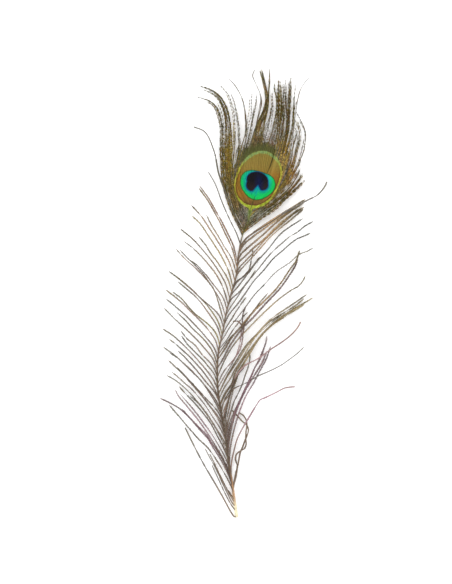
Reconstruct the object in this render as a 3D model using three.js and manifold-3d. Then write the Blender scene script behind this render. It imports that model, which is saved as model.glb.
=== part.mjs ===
// A peacock feather lying on its back on a flat surface.
//
// Millimetres, +Z up, +Y from the quill to the plume. The origin is the centre of
// the feather's footprint, on the surface it lies on.
//
// The feather grew as one piece, so it is one solid: a tapering shaft, the close vane
// that carries the eye, and the locks that its loose barbs fall into, joined together.

import * as THREE from 'three';
import { mergeVertices } from 'three/addons/utils/BufferGeometryUtils.js';
import Module from 'manifold-3d';

const wasm = await Module();
wasm.setup();

// ---------------------------------------------------------------- driving sizes

// The shaft's centre line seen from above, from the quill's end to inside the eye,
// with the shaft's radius at each point: [x, y, radius].
const SHAFT = [
  [-4.5, -149.4, 1.1], [-6.5, -135.5, 0.85], [-8, -124.5, 0.78], [-10, -112.5, 0.76],
  [-11.5, -100, 0.74], [-13.5, -88.5, 0.7], [-15, -79, 0.68], [-16.5, -70, 0.66],
  [-17.5, -53, 0.63], [-16.5, -38, 0.6], [-14, -27, 0.57], [-12, -15.5, 0.55],
  [-8.5, -1.5, 0.52], [-5, 11, 0.5], [-3.5, 25, 0.47], [-0.5, 39, 0.44],
  [3, 47.5, 0.42], [5, 57, 0.4], [10.3, 71, 0.34], [16, 80, 0.27],
  [19.5, 89.5, 0.2],
];
const SHAFT_SIDES = 6;
const SHAFT_STEPS = 34;
const SHAFT_ARCH = 2.4;         // how far the shaft bows up between the quill and the eye
const ARCH_END_Y = 45;          // from here on the shaft lies on the vane

// The close vane: an egg with its point towards the quill, leaning with the shaft.
const VANE_CENTRE = [8.6, 73.5];
const VANE_LEAN = THREE.MathUtils.degToRad(-18.5);
const VANE_HALF_WIDTH = 16.6;
const VANE_UP = 21.5;           // from the centre to the crown
const VANE_DOWN = 22.5;         // from the centre to the point
const VANE_POINT = 0.28;        // how much the lower half narrows towards its point
const VANE_THICKNESS = 0.9;
const VANE_EDGE_POINTS = 40;

const LOCK_STEP_LENGTH = 10;    // a lock has a step about every so far along it
const LOCK_LEAST_STEPS = 4;
const LOCK_ROOT_SHARE = 0.75;   // a lock's width at its root, against its full width
const LOCK_TIP_SHARE = 0.3;     // and at its tip

// Kinds of lock: full width, thickness, how far its middle lifts off the surface, and
// the number of sides of its section.
const LOOSE = { width: 1.9, thickness: 0.8, lift: 5.5, sides: 4 };
const STRAY = { width: 1.0, thickness: 0.7, lift: 4.5, sides: 4 };
const PLUME = { width: 3.2, thickness: 0.9, lift: 3.2, sides: 4 };
const CROWN = { width: 2.6, thickness: 0.84, lift: 2.2, sides: 4 };

// Each lock is a root, given as a Y on the shaft, and the points it then runs through.
const RIGHT_LOCKS = [
  { kind: STRAY, root: -131, path: [[-5.2, -120], [-4.3, -114.9], [-5.4, -109.9], [-4.7, -107.1],
                                    [-2, -104.8], [0.7, -103], [1.6, -100.7], [1.4, -96.6], [1.6, -92.1],
                                    [2.2, -87.5], [1.6, -84.3], [-0.2, -81.6], [-2.9, -80]] },
  { kind: STRAY, root: -130, path: [[-4.6, -120], [-3.8, -114.9], [-2.9, -109.4], [-2, -105.3],
                                    [-0.6, -102.1], [0.7, -98.4], [2.1, -94.8], [3.2, -91.1], [2.1, -88],
                                    [-1.1, -85.2], [-3.6, -82.5], [-7.5, -78.4]] },
  { kind: STRAY, root: -122, path: [[-8.2, -114], [-6.6, -105.7], [-4.3, -97.1], [-0.2, -88.9], [3.9, -82],
                                    [8.9, -73.8], [10.8, -71.1], [14, -69.7], [22.6, -65.6], [26.7, -63.5],
                                    [30.4, -62.8], [34, -62.6]] },
  { kind: LOOSE, root: -116, path: [[-8.9, -103.5], [-7, -93.4], [-4.7, -84.7], [-2, -76.5], [1.6, -67.9],
                                    [6.2, -60.1], [10.8, -51.4], [14.9, -44.1], [16.7, -39.6],
                                    [18.1, -35.9]] },
  { kind: LOOSE, root: -107, path: [[-10, -96.5], [-8.9, -89.8], [-7.5, -84.3], [-3.8, -73.8],
                                    [-1.5, -69.2], [3.9, -59.7], [9.4, -50.5], [11.7, -46.9],
                                    [13.5, -43.2]] },
  { kind: LOOSE, root: -102.5, path: [[-9.9, -92], [-7.5, -84.5], [-3.8, -75], [-0.2, -66], [3.9, -57.4],
                                      [8, -48.7], [10.8, -44.6], [13.1, -39.1], [14.7, -33.6],
                                      [15.6, -29.1]] },
  { kind: STRAY, root: -95, path: [[-10.2, -85.2], [-7.9, -77], [-6.1, -71.5], [-3.8, -67], [-0.6, -59.7],
                                   [0.7, -55.5], [2.6, -50.5], [3.9, -45.5], [4.2, -42.3], [3.5, -40]] },
  { kind: LOOSE, root: -91, path: [[-11.8, -81], [-10.6, -74.7], [-8.9, -67.5], [-7.2, -62.5],
                                   [-4.9, -56.5], [-2.5, -52.8], [1, -48.8]] },
  { kind: LOOSE, root: -86, path: [[-12, -77], [-9.8, -70.1], [-7.9, -63.8], [-6.1, -57.8], [-3.8, -53.3],
                                   [1.6, -47.8], [9.4, -43.7], [17.6, -37.8], [26.7, -31.8], [31.3, -28.2],
                                   [36.6, -22.1], [38, -19.4]] },
  { kind: STRAY, root: -80, path: [[-12.8, -72], [-10, -68.5], [-7, -64.2], [1.6, -59.7], [8.9, -55.5],
                                   [19, -51], [24.5, -48.2], [29.9, -44.6], [35, -40.9], [40, -36.4]] },
  { kind: PLUME, root: -74, path: [[-12, -66], [-7.9, -60.1], [-5.7, -53.7], [-2.9, -48.7], [3.9, -38.7],
                                   [12.9, -26.7], [20.2, -19.8], [26.6, -15.2], [33.4, -11.1], [38.9, -7.9],
                                   [46.2, -3.6]] },
  { kind: PLUME, root: -67, path: [[-13, -59.2], [-10.2, -53.7], [-7.5, -49.2], [-4.7, -44.6], [2.6, -33.6],
                                   [8.3, -27.6], [14.7, -21.2], [21.1, -16.6], [26.6, -13.4], [34.3, -8.4],
                                   [40, -3.6]] },
  { kind: LOOSE, root: -63, path: [[-12.5, -55], [-8, -47.5], [-4.4, -40], [-2.5, -33.5], [-1.6, -27],
                                   [-1, -21.2], [-0.5, -14.3], [1.5, -8.9]] },
  { kind: LOOSE, root: -56, path: [[-13.5, -46.5], [-9.5, -39], [-5.4, -33], [1.5, -25.3], [8.3, -18.4],
                                   [14.7, -12.1], [22.9, -4.8], [31.1, 1.2], [37.1, 4.8], [39.8, 8],
                                   [41.4, 11.2]] },
  { kind: LOOSE, root: -50, path: [[-13.2, -43], [-10, -36.5], [-6.5, -31], [0.1, -22.5], [5.6, -17.1],
                                   [11, -11.1], [17.4, -4.3], [24.3, 3], [30.2, 11.2], [32.9, 15.3],
                                   [35.2, 19.9], [35.7, 23.5]] },
  { kind: LOOSE, root: -44, path: [[-12, -36.5], [-8.5, -30.5], [-5, -26], [0.5, -20.3], [6, -13],
                                   [12.9, -6.1], [20.2, 1.2], [26.1, 8.5], [31.6, 16.7], [34.8, 20.8],
                                   [36.1, 24.5], [37.5, 28.1]] },
  { kind: LOOSE, root: -37.5, path: [[-11.5, -31.5], [-8, -26], [-4.5, -21], [-1, -16.5], [2.5, -13]] },
  { kind: LOOSE, root: -33, path: [[-11.9, -27.5], [-9.9, -23.9], [-3.6, -15.7], [1.9, -8.4], [6.5, -2],
                                   [13.8, 5.7], [21.1, 13.5], [30.2, 19.9], [37.1, 25.8], [42.1, 27.6],
                                   [46.2, 29.9]] },
  { kind: LOOSE, root: -28, path: [[-11, -22], [-7.5, -16.5], [-4.5, -11.5], [-1.5, -7], [1.5, -3]] },
  { kind: LOOSE, root: -22, path: [[-10.4, -15.7], [-4, -7.5], [1, -0.6], [7.4, 8.5], [12.9, 14.4],
                                   [19.7, 22.6], [26.6, 28.6], [31.1, 32.7], [35.7, 35.9], [40.2, 37.7],
                                   [44.6, 39.7]] },
  { kind: LOOSE, root: -16, path: [[-9, -10], [-5.5, -5], [-2, 0.5], [1.5, 5.5], [4.5, 10], [8, 15]] },
  { kind: LOOSE, root: -11, path: [[-8.6, -4.8], [-3.1, 0.3], [3.7, 8.5], [10.1, 16.2], [17.4, 25.4],
                                   [26.6, 34], [31.1, 37.7], [35.7, 40.4], [40.2, 44.1], [46.2, 47.5]] },
  { kind: LOOSE, root: -5, path: [[-7.6, -0.5], [-4.2, 3.5], [-0.8, 8], [3.5, 13.5], [7, 18.8],
                                  [10.6, 23.8]] },
  { kind: LOOSE, root: 0, path: [[-5.4, 5.7], [1, 12.1], [10.1, 22.2], [17.4, 30.4], [22, 36.3], [25.6, 40],
                                 [34.8, 46.4], [39.8, 49.3]] },
  { kind: LOOSE, root: 3.5, path: [[-4.2, 8], [-0.8, 10], [2.8, 13.5], [4.2, 17.1], [5.1, 21.7], [6, 25.8],
                                   [6, 29]] },
  { kind: PLUME, root: 7.5, path: [[-4, 12.6], [-0.8, 16.7], [6.5, 24.5], [13.8, 32.7], [17.4, 36.8],
                                   [23.4, 42.2], [31.9, 49.2], [39.6, 55.7]] },
  { kind: PLUME, root: 14, path: [[-3.1, 20.3], [0.1, 23.5], [6.5, 29.5], [12.9, 34.9], [22, 43.6],
                                  [27.6, 48.5], [34.3, 53.2], [40.1, 56.8]] },
  { kind: LOOSE, root: 20, path: [[-2.2, 24.9], [2.4, 29.5], [8.3, 34.5], [14.7, 40], [20.3, 45.3],
                                  [27.6, 51.2], [35.3, 56.5], [40.3, 59.8]] },
  { kind: PLUME, root: 29, path: [[0.5, 34.5], [6.5, 39.8], [12.9, 44.2], [18.3, 48], [24.3, 51.8],
                                  [32.6, 57.2], [40.9, 62.2]] },
  { kind: STRAY, root: 31, path: [[2, 36.5], [9, 41.2], [18.5, 47.4], [28, 53.6], [35.5, 57.6],
                                  [42.6, 61.5], [48.9, 64.8], [51.9, 67.8], [54.3, 71.2], [55.5, 73.9]] },
];

const LEFT_LOCKS = [
  { kind: STRAY, root: -148.6, path: [[-9.3, -143.9], [-13.1, -136.8], [-17.4, -129.2], [-26.9, -113.1],
                                      [-33, -101.8], [-39, -89.9]] },
  { kind: STRAY, root: -142.5, path: [[-7.9, -139], [-10.5, -133.5], [-13.1, -128.3], [-18.8, -116],
                                      [-23.1, -108.4], [-25.5, -104.1]] },
  { kind: LOOSE, root: -138, path: [[-9, -133], [-11.3, -129.5], [-14, -124.5], [-16.9, -119],
                                    [-19.5, -113]] },
  { kind: LOOSE, root: -134, path: [[-7.9, -129.7], [-12.2, -120.7], [-17.4, -111.7], [-24.5, -101.8],
                                    [-29.2, -97.5], [-34, -92.3], [-41.1, -84.2], [-49.4, -75]] },
  { kind: LOOSE, root: -126.5, path: [[-10.3, -118.8], [-15, -108.9], [-21.2, -99.4], [-25, -93.5],
                                      [-29.2, -89.4], [-37.8, -80.9], [-42, -77.1], [-46.8, -74.3],
                                      [-55.5, -70.4]] },
  { kind: LOOSE, root: -121, path: [[-12.2, -112.7], [-17.9, -102.7], [-24.5, -92.3], [-30.2, -84.2],
                                    [-37.3, -75.7], [-43.5, -68.6], [-45.8, -64.8]] },
  { kind: LOOSE, root: -113, path: [[-12.4, -105], [-17.4, -95.1], [-22.1, -86.1], [-27, -79.5],
                                    [-33, -72.5], [-38.5, -67], [-43, -62.5]] },
  { kind: LOOSE, root: -104, path: [[-13.8, -97], [-19, -88.5], [-26.5, -77.5], [-38, -64], [-45.5, -58],
                                    [-51, -55]] },
  { kind: LOOSE, root: -91.5, path: [[-15.8, -84], [-23, -74], [-33.5, -61.5], [-43, -51.5], [-50, -45]] },
  { kind: LOOSE, root: -79, path: [[-18, -72], [-25.5, -61.5], [-37, -49.5], [-46, -41.5],
                                   [-53.5, -36.5]] },
  { kind: LOOSE, root: -66, path: [[-19.8, -58], [-27, -48.5], [-38.5, -36], [-47, -28.5], [-54, -24]] },
  { kind: LOOSE, root: -53, path: [[-19.8, -45], [-26, -36.5], [-38, -24], [-47, -16], [-53, -10]] },
  { kind: LOOSE, root: -40, path: [[-18.5, -32], [-24, -24], [-36, -11.5], [-45, -3], [-52, 2]] },
  { kind: LOOSE, root: -28, path: [[-16.8, -19.5], [-22, -11], [-33.5, 1.5], [-42, 9], [-49.5, 14.5]] },
  { kind: LOOSE, root: -16, path: [[-14.8, -7], [-19.5, 2], [-30, 14.5], [-39, 22.5], [-45, 29]] },
  { kind: LOOSE, root: -4, path: [[-12, 6], [-17, 15], [-26, 27], [-34, 36], [-42, 42.5]] },
  { kind: LOOSE, root: 8, path: [[-9, 19], [-13.5, 28], [-21, 40.5], [-28, 51], [-34.5, 58.5]] },
  { kind: LOOSE, root: 20, path: [[-7, 31.5], [-11, 40], [-17.5, 52.5], [-23.5, 63], [-29.5, 71]] },
  { kind: STRAY, root: 32, path: [[-5, 40], [-9, 48], [-14.5, 60.5], [-19, 72.5], [-23.5, 80.5]] },
];

// The plume's locks leave the shaft below the eye and inside it, and run up past its rim:
// first those on the left of the shaft's end, then those on its right.
const LEFT_PLUME = [
  { kind: PLUME, root: 40, path: [[-8.5, 57.5], [-13, 72], [-14.3, 88.5], [-14.6, 104.5], [-15, 113],
                                  [-16.4, 119.5], [-18.8, 124.2], [-22, 127.2], [-31, 130.4]] },
  { kind: PLUME, root: 42, path: [[-7, 58], [-11, 73.5], [-12.2, 90], [-12, 104], [-12.3, 114],
                                  [-14.3, 123], [-17.5, 129], [-21.5, 132.5], [-27, 135.3]] },
  { kind: PLUME, root: 44.5, path: [[-5.5, 59.5], [-9, 75], [-9.5, 92], [-8.8, 104], [-9.3, 113],
                                    [-11.2, 121], [-13.4, 126.4], [-16.3, 130.9], [-19.7, 133.6],
                                    [-23.5, 135.8], [-29.9, 137.9]] },
  { kind: STRAY, root: 46.3, path: [[-4, 60.5], [-7.6, 75.5], [-7.2, 92], [-6.2, 104], [-5.9, 112],
                                     [-6.9, 122], [-8.4, 126.8], [-9.9, 130.9], [-12.5, 134.5],
                                     [-15.8, 138.2]] },
  { kind: STRAY, root: 47.5, path: [[-2.6, 61.5], [-6, 76], [-4.6, 88], [-3.4, 96], [-3.3, 104],
                                     [-3.6, 111], [-4.6, 118], [-5.7, 123.9], [-6.9, 128.6],
                                     [-8.8, 133.1]] },
  { kind: STRAY, root: 53, path: [[-1, 63.5], [-5, 72], [-5.2, 82], [-2.5, 91], [-0.3, 100], [1.4, 106.2],
                                  [1.3, 118.3], [0.6, 123.1], [-0.7, 128.3], [-2.9, 133.1], [-5.8, 137.9],
                                  [-9.9, 142.6]] },
  { kind: STRAY, root: 57, path: [[0.5, 66], [-2.5, 74], [-2.5, 84], [-0.3, 93], [2.3, 104], [3.7, 112.8],
                                   [5, 118.3], [5.1, 123.8], [5.4, 130.1], [5.6, 133.1]] },
  { kind: STRAY, root: 59, path: [[2, 68], [-1, 76], [-0.6, 85.5], [1.2, 94], [3.2, 103], [5.6, 113.9],
                                   [6.7, 119.1], [7.4, 122.7], [8.2, 127.2], [8.7, 132.3]] },
  { kind: STRAY, root: 61, path: [[3, 69.5], [0.5, 77], [1, 86], [3.5, 95], [6.3, 105], [9, 113.5],
                                  [10.6, 119.5], [11.9, 127.5], [11.1, 131.6], [9.6, 135.3], [7.4, 140.4],
                                  [6, 144.5], [7.4, 148.5]] },
  { kind: CROWN, root: 65, path: [[5.5, 73], [3.8, 80], [4.5, 88], [6.2, 97], [8.4, 106], [10.6, 112],
                                  [13.2, 118], [15, 123], [15.8, 128], [15.2, 133.1], [14, 137.5],
                                  [13.1, 142], [11.5, 149.4]] },
  { kind: CROWN, root: 70, path: [[8.8, 77], [8, 84], [9, 91], [10.6, 98.5], [12.2, 106], [13.6, 113],
                                  [15.3, 120.5], [16.4, 127], [16.7, 133], [17.1, 140.4], [17.3, 149.4]] },
  { kind: PLUME, root: 75, path: [[12.5, 81], [13, 87.5], [14.3, 94], [16.8, 101], [18.8, 107.5],
                                  [20.6, 114], [22, 121], [22, 128], [21, 134], [20.3, 140.4]] },
  { kind: CROWN, root: 79.5, path: [[17.4, 86], [19.5, 92], [20.9, 98], [22, 105], [23, 112.5], [23.6, 122],
                                    [23.5, 130], [23.3, 136.7], [23.6, 142.3]] },
];

const RIGHT_PLUME = [
  { kind: PLUME, root: 40.8, path: [[7.6, 45.8], [12.6, 49.8], [19.3, 54.5], [24.3, 58.5], [27.6, 61.8],
                                    [34.3, 68.2], [36.9, 70.8], [40.8, 75.4]] },
  { kind: PLUME, root: 43, path: [[9.3, 50.5], [15.3, 55.2], [20.9, 59.5], [25.9, 63.5], [29.6, 66.5],
                                  [34.3, 71.5], [36.3, 74.2], [39.6, 79.8]] },
  { kind: PLUME, root: 45, path: [[9, 52], [14.3, 56.3], [20.9, 61.3], [25.9, 65.3], [29.6, 68.9],
                                  [34.3, 75.4], [36.3, 79], [37.7, 82.8]] },
  { kind: CROWN, root: 47.2, path: [[10.9, 56.8], [17.6, 61.8], [24.3, 68.2], [31.6, 75.8], [34.3, 80.2],
                                    [36.6, 84.5], [38.2, 89.5], [40, 94.4], [40.8, 99.9], [40.8, 107.3],
                                    [38, 114.3], [36.5, 117.6], [34.8, 120.8]] },
  { kind: CROWN, root: 50.5, path: [[11.5, 58.3], [18.5, 64], [24.5, 70], [28.5, 76], [31.3, 82],
                                    [33.2, 87], [35.8, 97], [36.9, 100.6], [37.5, 104.3], [36.9, 108],
                                    [35.4, 111.7], [34.3, 115.4]] },
  { kind: STRAY, root: 54, path: [[14.5, 61], [22.5, 69], [27.5, 79], [29.8, 88], [31.5, 97], [32.8, 107],
                                  [34, 116], [35.1, 123.5], [36.5, 130.9], [37.6, 134.5], [39.1, 137.5],
                                  [43.5, 143.2]] },
  { kind: CROWN, root: 58, path: [[14.5, 64], [20.5, 71], [25, 80.5], [28, 90], [30.3, 99], [31.7, 105.4],
                                  [32.6, 111.5], [33.3, 123], [33.7, 128.5], [34, 133.1], [34.6, 138.2]] },
  { kind: CROWN, root: 63, path: [[14.5, 68.5], [19.5, 75], [23.5, 83.5], [26, 92], [28.1, 101],
                                  [29.5, 109], [30.2, 117], [30.4, 125], [31.3, 138.5], [31.6, 144.1]] },
  { kind: STRAY, root: 69, path: [[15.5, 73.5], [19.3, 79.5], [22.3, 87], [24.5, 95], [26.6, 103],
                                   [28.3, 110], [28.8, 117], [28.2, 124], [27.9, 130], [28.1, 136.7],
                                   [27.9, 142.6]] },
  { kind: CROWN, root: 79.5, path: [[18.5, 84.5], [20.4, 91], [21.8, 97.5], [23, 105], [24, 113],
                                    [24.8, 121], [24.8, 129], [24.4, 136.7], [24.4, 141]] },
];

// ---------------------------------------------------------------- helpers

const UP = new THREE.Vector3(0, 0, 1);

/** The solid that a closed three.js geometry bounds. */
function toSolid(geometry) {
  const bare = geometry.index ? geometry.clone() : geometry;
  bare.deleteAttribute('normal');
  bare.deleteAttribute('uv');
  const merged = mergeVertices(bare);
  return new wasm.Manifold(new wasm.Mesh({
    numProp: 3,
    vertProperties: new Float32Array(merged.attributes.position.array),
    triVerts: new Uint32Array(merged.index.array),
  }));
}

/** The three.js geometry of a solid. */
function toGeometry(solid) {
  const mesh = solid.getMesh();
  const geometry = new THREE.BufferGeometry();
  geometry.setAttribute('position', new THREE.BufferAttribute(mesh.vertProperties, 3));
  geometry.setIndex(new THREE.BufferAttribute(mesh.triVerts, 1));
  geometry.computeVertexNormals();
  return geometry;
}

/**
 * A closed rod along a curve: a cylinder bent onto it, its section flattened and
 * tapered. halfWidth and halfHeight give the section at a share of the way along.
 */
function bentRod(curve, sides, steps, halfWidth, halfHeight) {
  const rod = new THREE.CylinderGeometry(1, 1, 1, sides, steps, false, Math.PI / sides);
  rod.computeBoundingBox();
  const reach = rod.boundingBox.max;
  const position = rod.attributes.position;
  const point = new THREE.Vector3();
  for (let i = 0; i < position.count; i++) {
    const along = THREE.MathUtils.clamp(position.getY(i) + 0.5, 0, 1);
    const centre = curve.getPointAt(along);
    const across = curve.getTangentAt(along).cross(UP).normalize();
    point.copy(centre)
      .addScaledVector(across, (position.getX(i) / reach.x) * halfWidth(along))
      .addScaledVector(UP, (position.getZ(i) / reach.z) * halfHeight(along));
    position.setXYZ(i, point.x, point.y, point.z);
  }
  return toSolid(rod);
}

/** Linear interpolation through the SHAFT list by Y: the shaft at that height. */
function shaftAt(y) {
  let next = SHAFT.findIndex((station) => station[1] > y);
  if (next < 0) next = SHAFT.length - 1;
  next = Math.max(next, 1);
  const [x0, y0, r0] = SHAFT[next - 1];
  const [x1, y1, r1] = SHAFT[next];
  const share = (y - y0) / (y1 - y0);
  const radius = THREE.MathUtils.lerp(r0, r1, share);
  return { x: THREE.MathUtils.lerp(x0, x1, share), radius, z: shaftHeight(y, radius) };
}

/** Height of the shaft's centre line: it touches down at the quill and on the vane. */
function shaftHeight(y, radius) {
  const quillY = SHAFT[0][1];
  const share = THREE.MathUtils.clamp((y - quillY) / (ARCH_END_Y - quillY), 0, 1);
  return Math.max(radius, VANE_THICKNESS * share) + SHAFT_ARCH * Math.sin(Math.PI * share) ** 2;
}

// ---------------------------------------------------------------- sub-parts

function makeShaft() {
  const points = SHAFT.map(([x, y, radius]) => new THREE.Vector3(x, y, shaftHeight(y, radius)));
  const curve = new THREE.CatmullRomCurve3(points, false, 'centripetal');
  const radiusAt = (along) => shaftAt(curve.getPointAt(along).y).radius;
  return bentRod(curve, SHAFT_SIDES, SHAFT_STEPS, radiusAt, radiusAt);
}

function makeVane() {
  const outline = [];
  for (let i = 0; i < VANE_EDGE_POINTS; i++) {
    const angle = (2 * Math.PI * i) / VANE_EDGE_POINTS;
    const rise = Math.sin(angle);
    const narrowing = rise < 0 ? 1 - VANE_POINT * rise * rise : 1;
    const x = VANE_HALF_WIDTH * Math.cos(angle) * narrowing;
    const y = rise * (rise < 0 ? VANE_DOWN : VANE_UP);
    outline.push(new THREE.Vector2(x, y).rotateAround(new THREE.Vector2(), VANE_LEAN));
  }
  const plate = new THREE.ExtrudeGeometry(new THREE.Shape(outline), {
    depth: VANE_THICKNESS,
    bevelEnabled: false,
  });
  plate.translate(VANE_CENTRE[0], VANE_CENTRE[1], 0);
  return toSolid(plate);
}

function makeLock({ kind, root, path }) {
  const base = shaftAt(root);
  const points = [new THREE.Vector3(base.x, root, base.z)];
  path.forEach(([x, y], i) => {
    const share = (i + 1) / path.length;
    const settle = THREE.MathUtils.lerp(base.z, kind.thickness / 2, share);
    points.push(new THREE.Vector3(x, y, settle + kind.lift * Math.sin(Math.PI * share)));
  });
  const curve = new THREE.CatmullRomCurve3(points, false, 'centripetal');
  const taper = (along) => THREE.MathUtils.lerp(1, LOCK_TIP_SHARE, along ** 2)
    * THREE.MathUtils.lerp(LOCK_ROOT_SHARE, 1, Math.min(along * 4, 1));
  const steps = Math.max(Math.round(curve.getLength() / LOCK_STEP_LENGTH), LOCK_LEAST_STEPS);
  return bentRod(
    curve,
    kind.sides,
    steps,
    (along) => (kind.width / 2) * taper(along),
    () => kind.thickness / 2,
  );
}

// ---------------------------------------------------------------- assembly

const solids = [makeShaft(), makeVane()];
for (const lock of [...RIGHT_LOCKS, ...LEFT_LOCKS, ...LEFT_PLUME, ...RIGHT_PLUME]) {
  solids.push(makeLock(lock));
}

// Where locks cross they can close off a small pocket: only the outer skin is kept.
const grown = wasm.Manifold.union(solids);
const [skin] = grown.decompose().filter((shell) => shell.volume() > 0);

const horn = new THREE.MeshStandardMaterial({ color: 0x75684a, roughness: 0.6, metalness: 0 });
const feather = new THREE.Mesh(toGeometry(skin), horn);
feather.name = 'feather';

const part = new THREE.Group();
part.add(feather);

export default part;
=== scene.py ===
"""Dresses a loose peacock tail feather: its shaft, the eye's close vane and its open barbs."""

import math

import bmesh
import bpy
import numpy as np
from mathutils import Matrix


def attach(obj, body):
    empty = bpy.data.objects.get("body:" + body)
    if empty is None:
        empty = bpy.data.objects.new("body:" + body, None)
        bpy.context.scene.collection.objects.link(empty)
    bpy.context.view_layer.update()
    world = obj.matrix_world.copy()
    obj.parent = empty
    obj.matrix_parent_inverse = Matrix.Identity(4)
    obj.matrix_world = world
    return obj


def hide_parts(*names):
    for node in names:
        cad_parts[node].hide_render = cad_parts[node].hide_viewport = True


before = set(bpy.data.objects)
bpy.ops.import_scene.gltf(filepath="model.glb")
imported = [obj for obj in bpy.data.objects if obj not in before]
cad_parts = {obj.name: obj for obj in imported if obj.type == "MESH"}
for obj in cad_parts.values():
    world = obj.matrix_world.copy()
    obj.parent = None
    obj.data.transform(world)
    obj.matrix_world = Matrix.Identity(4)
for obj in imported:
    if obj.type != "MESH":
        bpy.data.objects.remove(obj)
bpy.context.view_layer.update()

bl_info = {
    "name": "Peacock Feather",
    "version": (1, 0, 0),
    "blender": (4, 5, 0),
    "location": "3D View > Sidebar > Feather",
    "description": "Builds a loose peacock tail feather from its shaft, eye and barbs",
    "category": "Object",
}

MM = 0.001
BODY = "root"
SOLID = "feather"

# ---------------------------------------------------------------- the feather's lines, in mm

# The shaft's centre line from above and its radius: (x, y, radius), quill first.
SHAFT = [
    (-4.5, -149.4, 1.1), (-6.5, -135.5, 0.85), (-8, -124.5, 0.78), (-10, -112.5, 0.76),
    (-11.5, -100, 0.74), (-13.5, -88.5, 0.7), (-15, -79, 0.68), (-16.5, -70, 0.66),
    (-17.5, -53, 0.63), (-16.5, -38, 0.6), (-14, -27, 0.57), (-12, -15.5, 0.55),
    (-8.5, -1.5, 0.52), (-5, 11, 0.5), (-3.5, 25, 0.47), (-0.5, 39, 0.44),
    (3, 47.5, 0.42), (5, 57, 0.4), (10.3, 71, 0.34), (16, 80, 0.27), (19.5, 89.5, 0.2),
]
SHAFT_POINTS = 150
SHAFT_SMOOTH = math.radians(50)
# The share of its width that the quill's hollow keeps at its floor.
HOLLOW_TAPER = 0.6
# How high the shaft arches off the floor and where that ends (a Y), how thick the vane under
# it is there, and how far, and between which Ys, it sinks into the eye.
SHAFT_ARCH = 2.4
ARCH_END_Y = 45.0
VANE_THICKNESS = 0.9
EYE_SINK = 0.5
SINKS = (54, 63)

# The kinds of barb, and how each lifts: the height of its middle over its ends, and that of
# its tip over the floor.
LOOSE, BROAD, STRAY, WISP, PLUME, CROWN, SPIKE, DOTTED = (
    "loose", "broad", "stray", "wisp", "plume", "crown", "spike", "dotted")
LIFT = {LOOSE: 5.5, BROAD: 5.5, STRAY: 4.5, WISP: 4.5, PLUME: 3.2, CROWN: 2.2, SPIKE: 2.2,
        DOTTED: 3.0}
REST = {LOOSE: 0.4, BROAD: 0.4, STRAY: 0.35, WISP: 0.35, PLUME: 0.45, CROWN: 0.42, SPIKE: 0.42,
        DOTTED: 0.4}

# What each kind is made of: its rib's width and the share of it left at the tip, and its
# blades' length and width.
BUILD = {
    LOOSE: (0.66, 0.5, 1.15, 0.46),
    BROAD: (0.8, 0.5, 1.5, 0.55),
    STRAY: (1.15, 0.85, 0.85, 0.36),
    WISP: (0.78, 0.62, 0.65, 0.32),
    PLUME: (0.34, 0.45, 1.25, 0.36),
    CROWN: (0.32, 0.5, 1.1, 0.38),
    SPIKE: (0.6, 0.6, 1.1, 0.42),
    DOTTED: (0.15, 0.42, 1.1, 0.34),
}
RIB_SIDES = 4
RIB_FLATNESS = 0.7
STRIP_HEIGHT = 0.2
# How much a barb's blades shorten to the eye where it stands on edge.
FOLD = {LOOSE: 0.65, BROAD: 0.4, STRAY: 0.65}
OTHER_FOLD = 0.82
# Blades lean off the rib by so many degrees and lift by so much of their length: each the
# mean and the spread.
BLADE_LEAN = (40, 7)
BLADE_LIFT = (0.05, 0.16)
# By how much single blades differ in length and in light, and the share of its length that
# a blade has where its barb has barely opened.
BLADE_LENGTHS = (0.78, 1.1)
BLADE_LIGHTS = (0.82, 1.18)
NEW_BLADES = 0.35
# The share of its length that a blade has at the barb's root and at its tip, and how far
# on, in mm, it would have gained the whole of it.
ROOT_BLADES = (0.2, 7.0)
TIP_BLADES = (0.25, 3.5)

# Kinds that fill a side between its lines, and how many more barbs share a line's lock.
COMPANIONS = {LOOSE: 0, BROAD: 0, PLUME: 1}
# The share of a side's barbs that keep close to the nearest line, and how far these and the
# others draw in to it, at the least and at the most.
CLOSE_SHARE = 0.35
CLOSE_DRAW = (0.82, 0.98)
OPEN_DRAW = (0.0, 0.35)
# The most of its line that a barb between two lines may lack at its tip, and how far it
# stands aside, in mm, at the least and at the most.
SIDE_LACKS = 0.3
SIDE_ASIDE = (0.6, 1.3)
# Spreads, in mm, of how far a side barb swings and sways at its tip, on a line and between
# two lines, and of how far it rises.
ON_LINE = (0.15, 0.12)
OFF_LINE = (1.1, 0.3)
SIDE_RISES = 0.5

# The lowest that any point lies over the floor, then a loose barb's middle line, then the
# root of a barb that passes the eye.
LOWEST_POINT = 0.03
LOWEST_LINE = 0.35
LOWEST_ROOT = 0.85

# Barbs that pass the eye count as over its vane up to this far past the rim.
VANE_EDGE = 0.8
# How much they draw in to their lock, at the least and at the most, and the part of the
# line, counted from the rim, over which they do.
GATHER = {PLUME: (0.25, 0.9), CROWN: (0.45, 0.95), SPIKE: (0.7, 1.0), WISP: (0.85, 1.0),
          DOTTED: (0.3, 0.9)}
PLUME_GATHERS = (0.06, 0.42)
OTHER_GATHERS = (0.15, 0.42)
# How much of the gap that is left closes up towards their tips.
TIP_GATHERS = 0.8
# The part of the line that stands for the rim where a barb passes beside the vane.
BARE_RIM = 0.42
# The most of its line that a barb which runs on may lack at its tip, and how far past the
# rim the others run, in mm: the least, the likeliest and the most.
PLUME_LACKS = 0.16
OTHER_LACKS = 0.22
PLUME_ENDS = (6, 22, 42)
OTHER_ENDS = (3, 12, 34)
# Over how many mm past the rim barbs come loose, wisps darken, and blades open, to the left
# and to the right.
COMES_LOOSE = (4, 24)
DUSKS = (8, 20)
OPENS = {-1: (2, 8), 1: (6, 16)}
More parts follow.
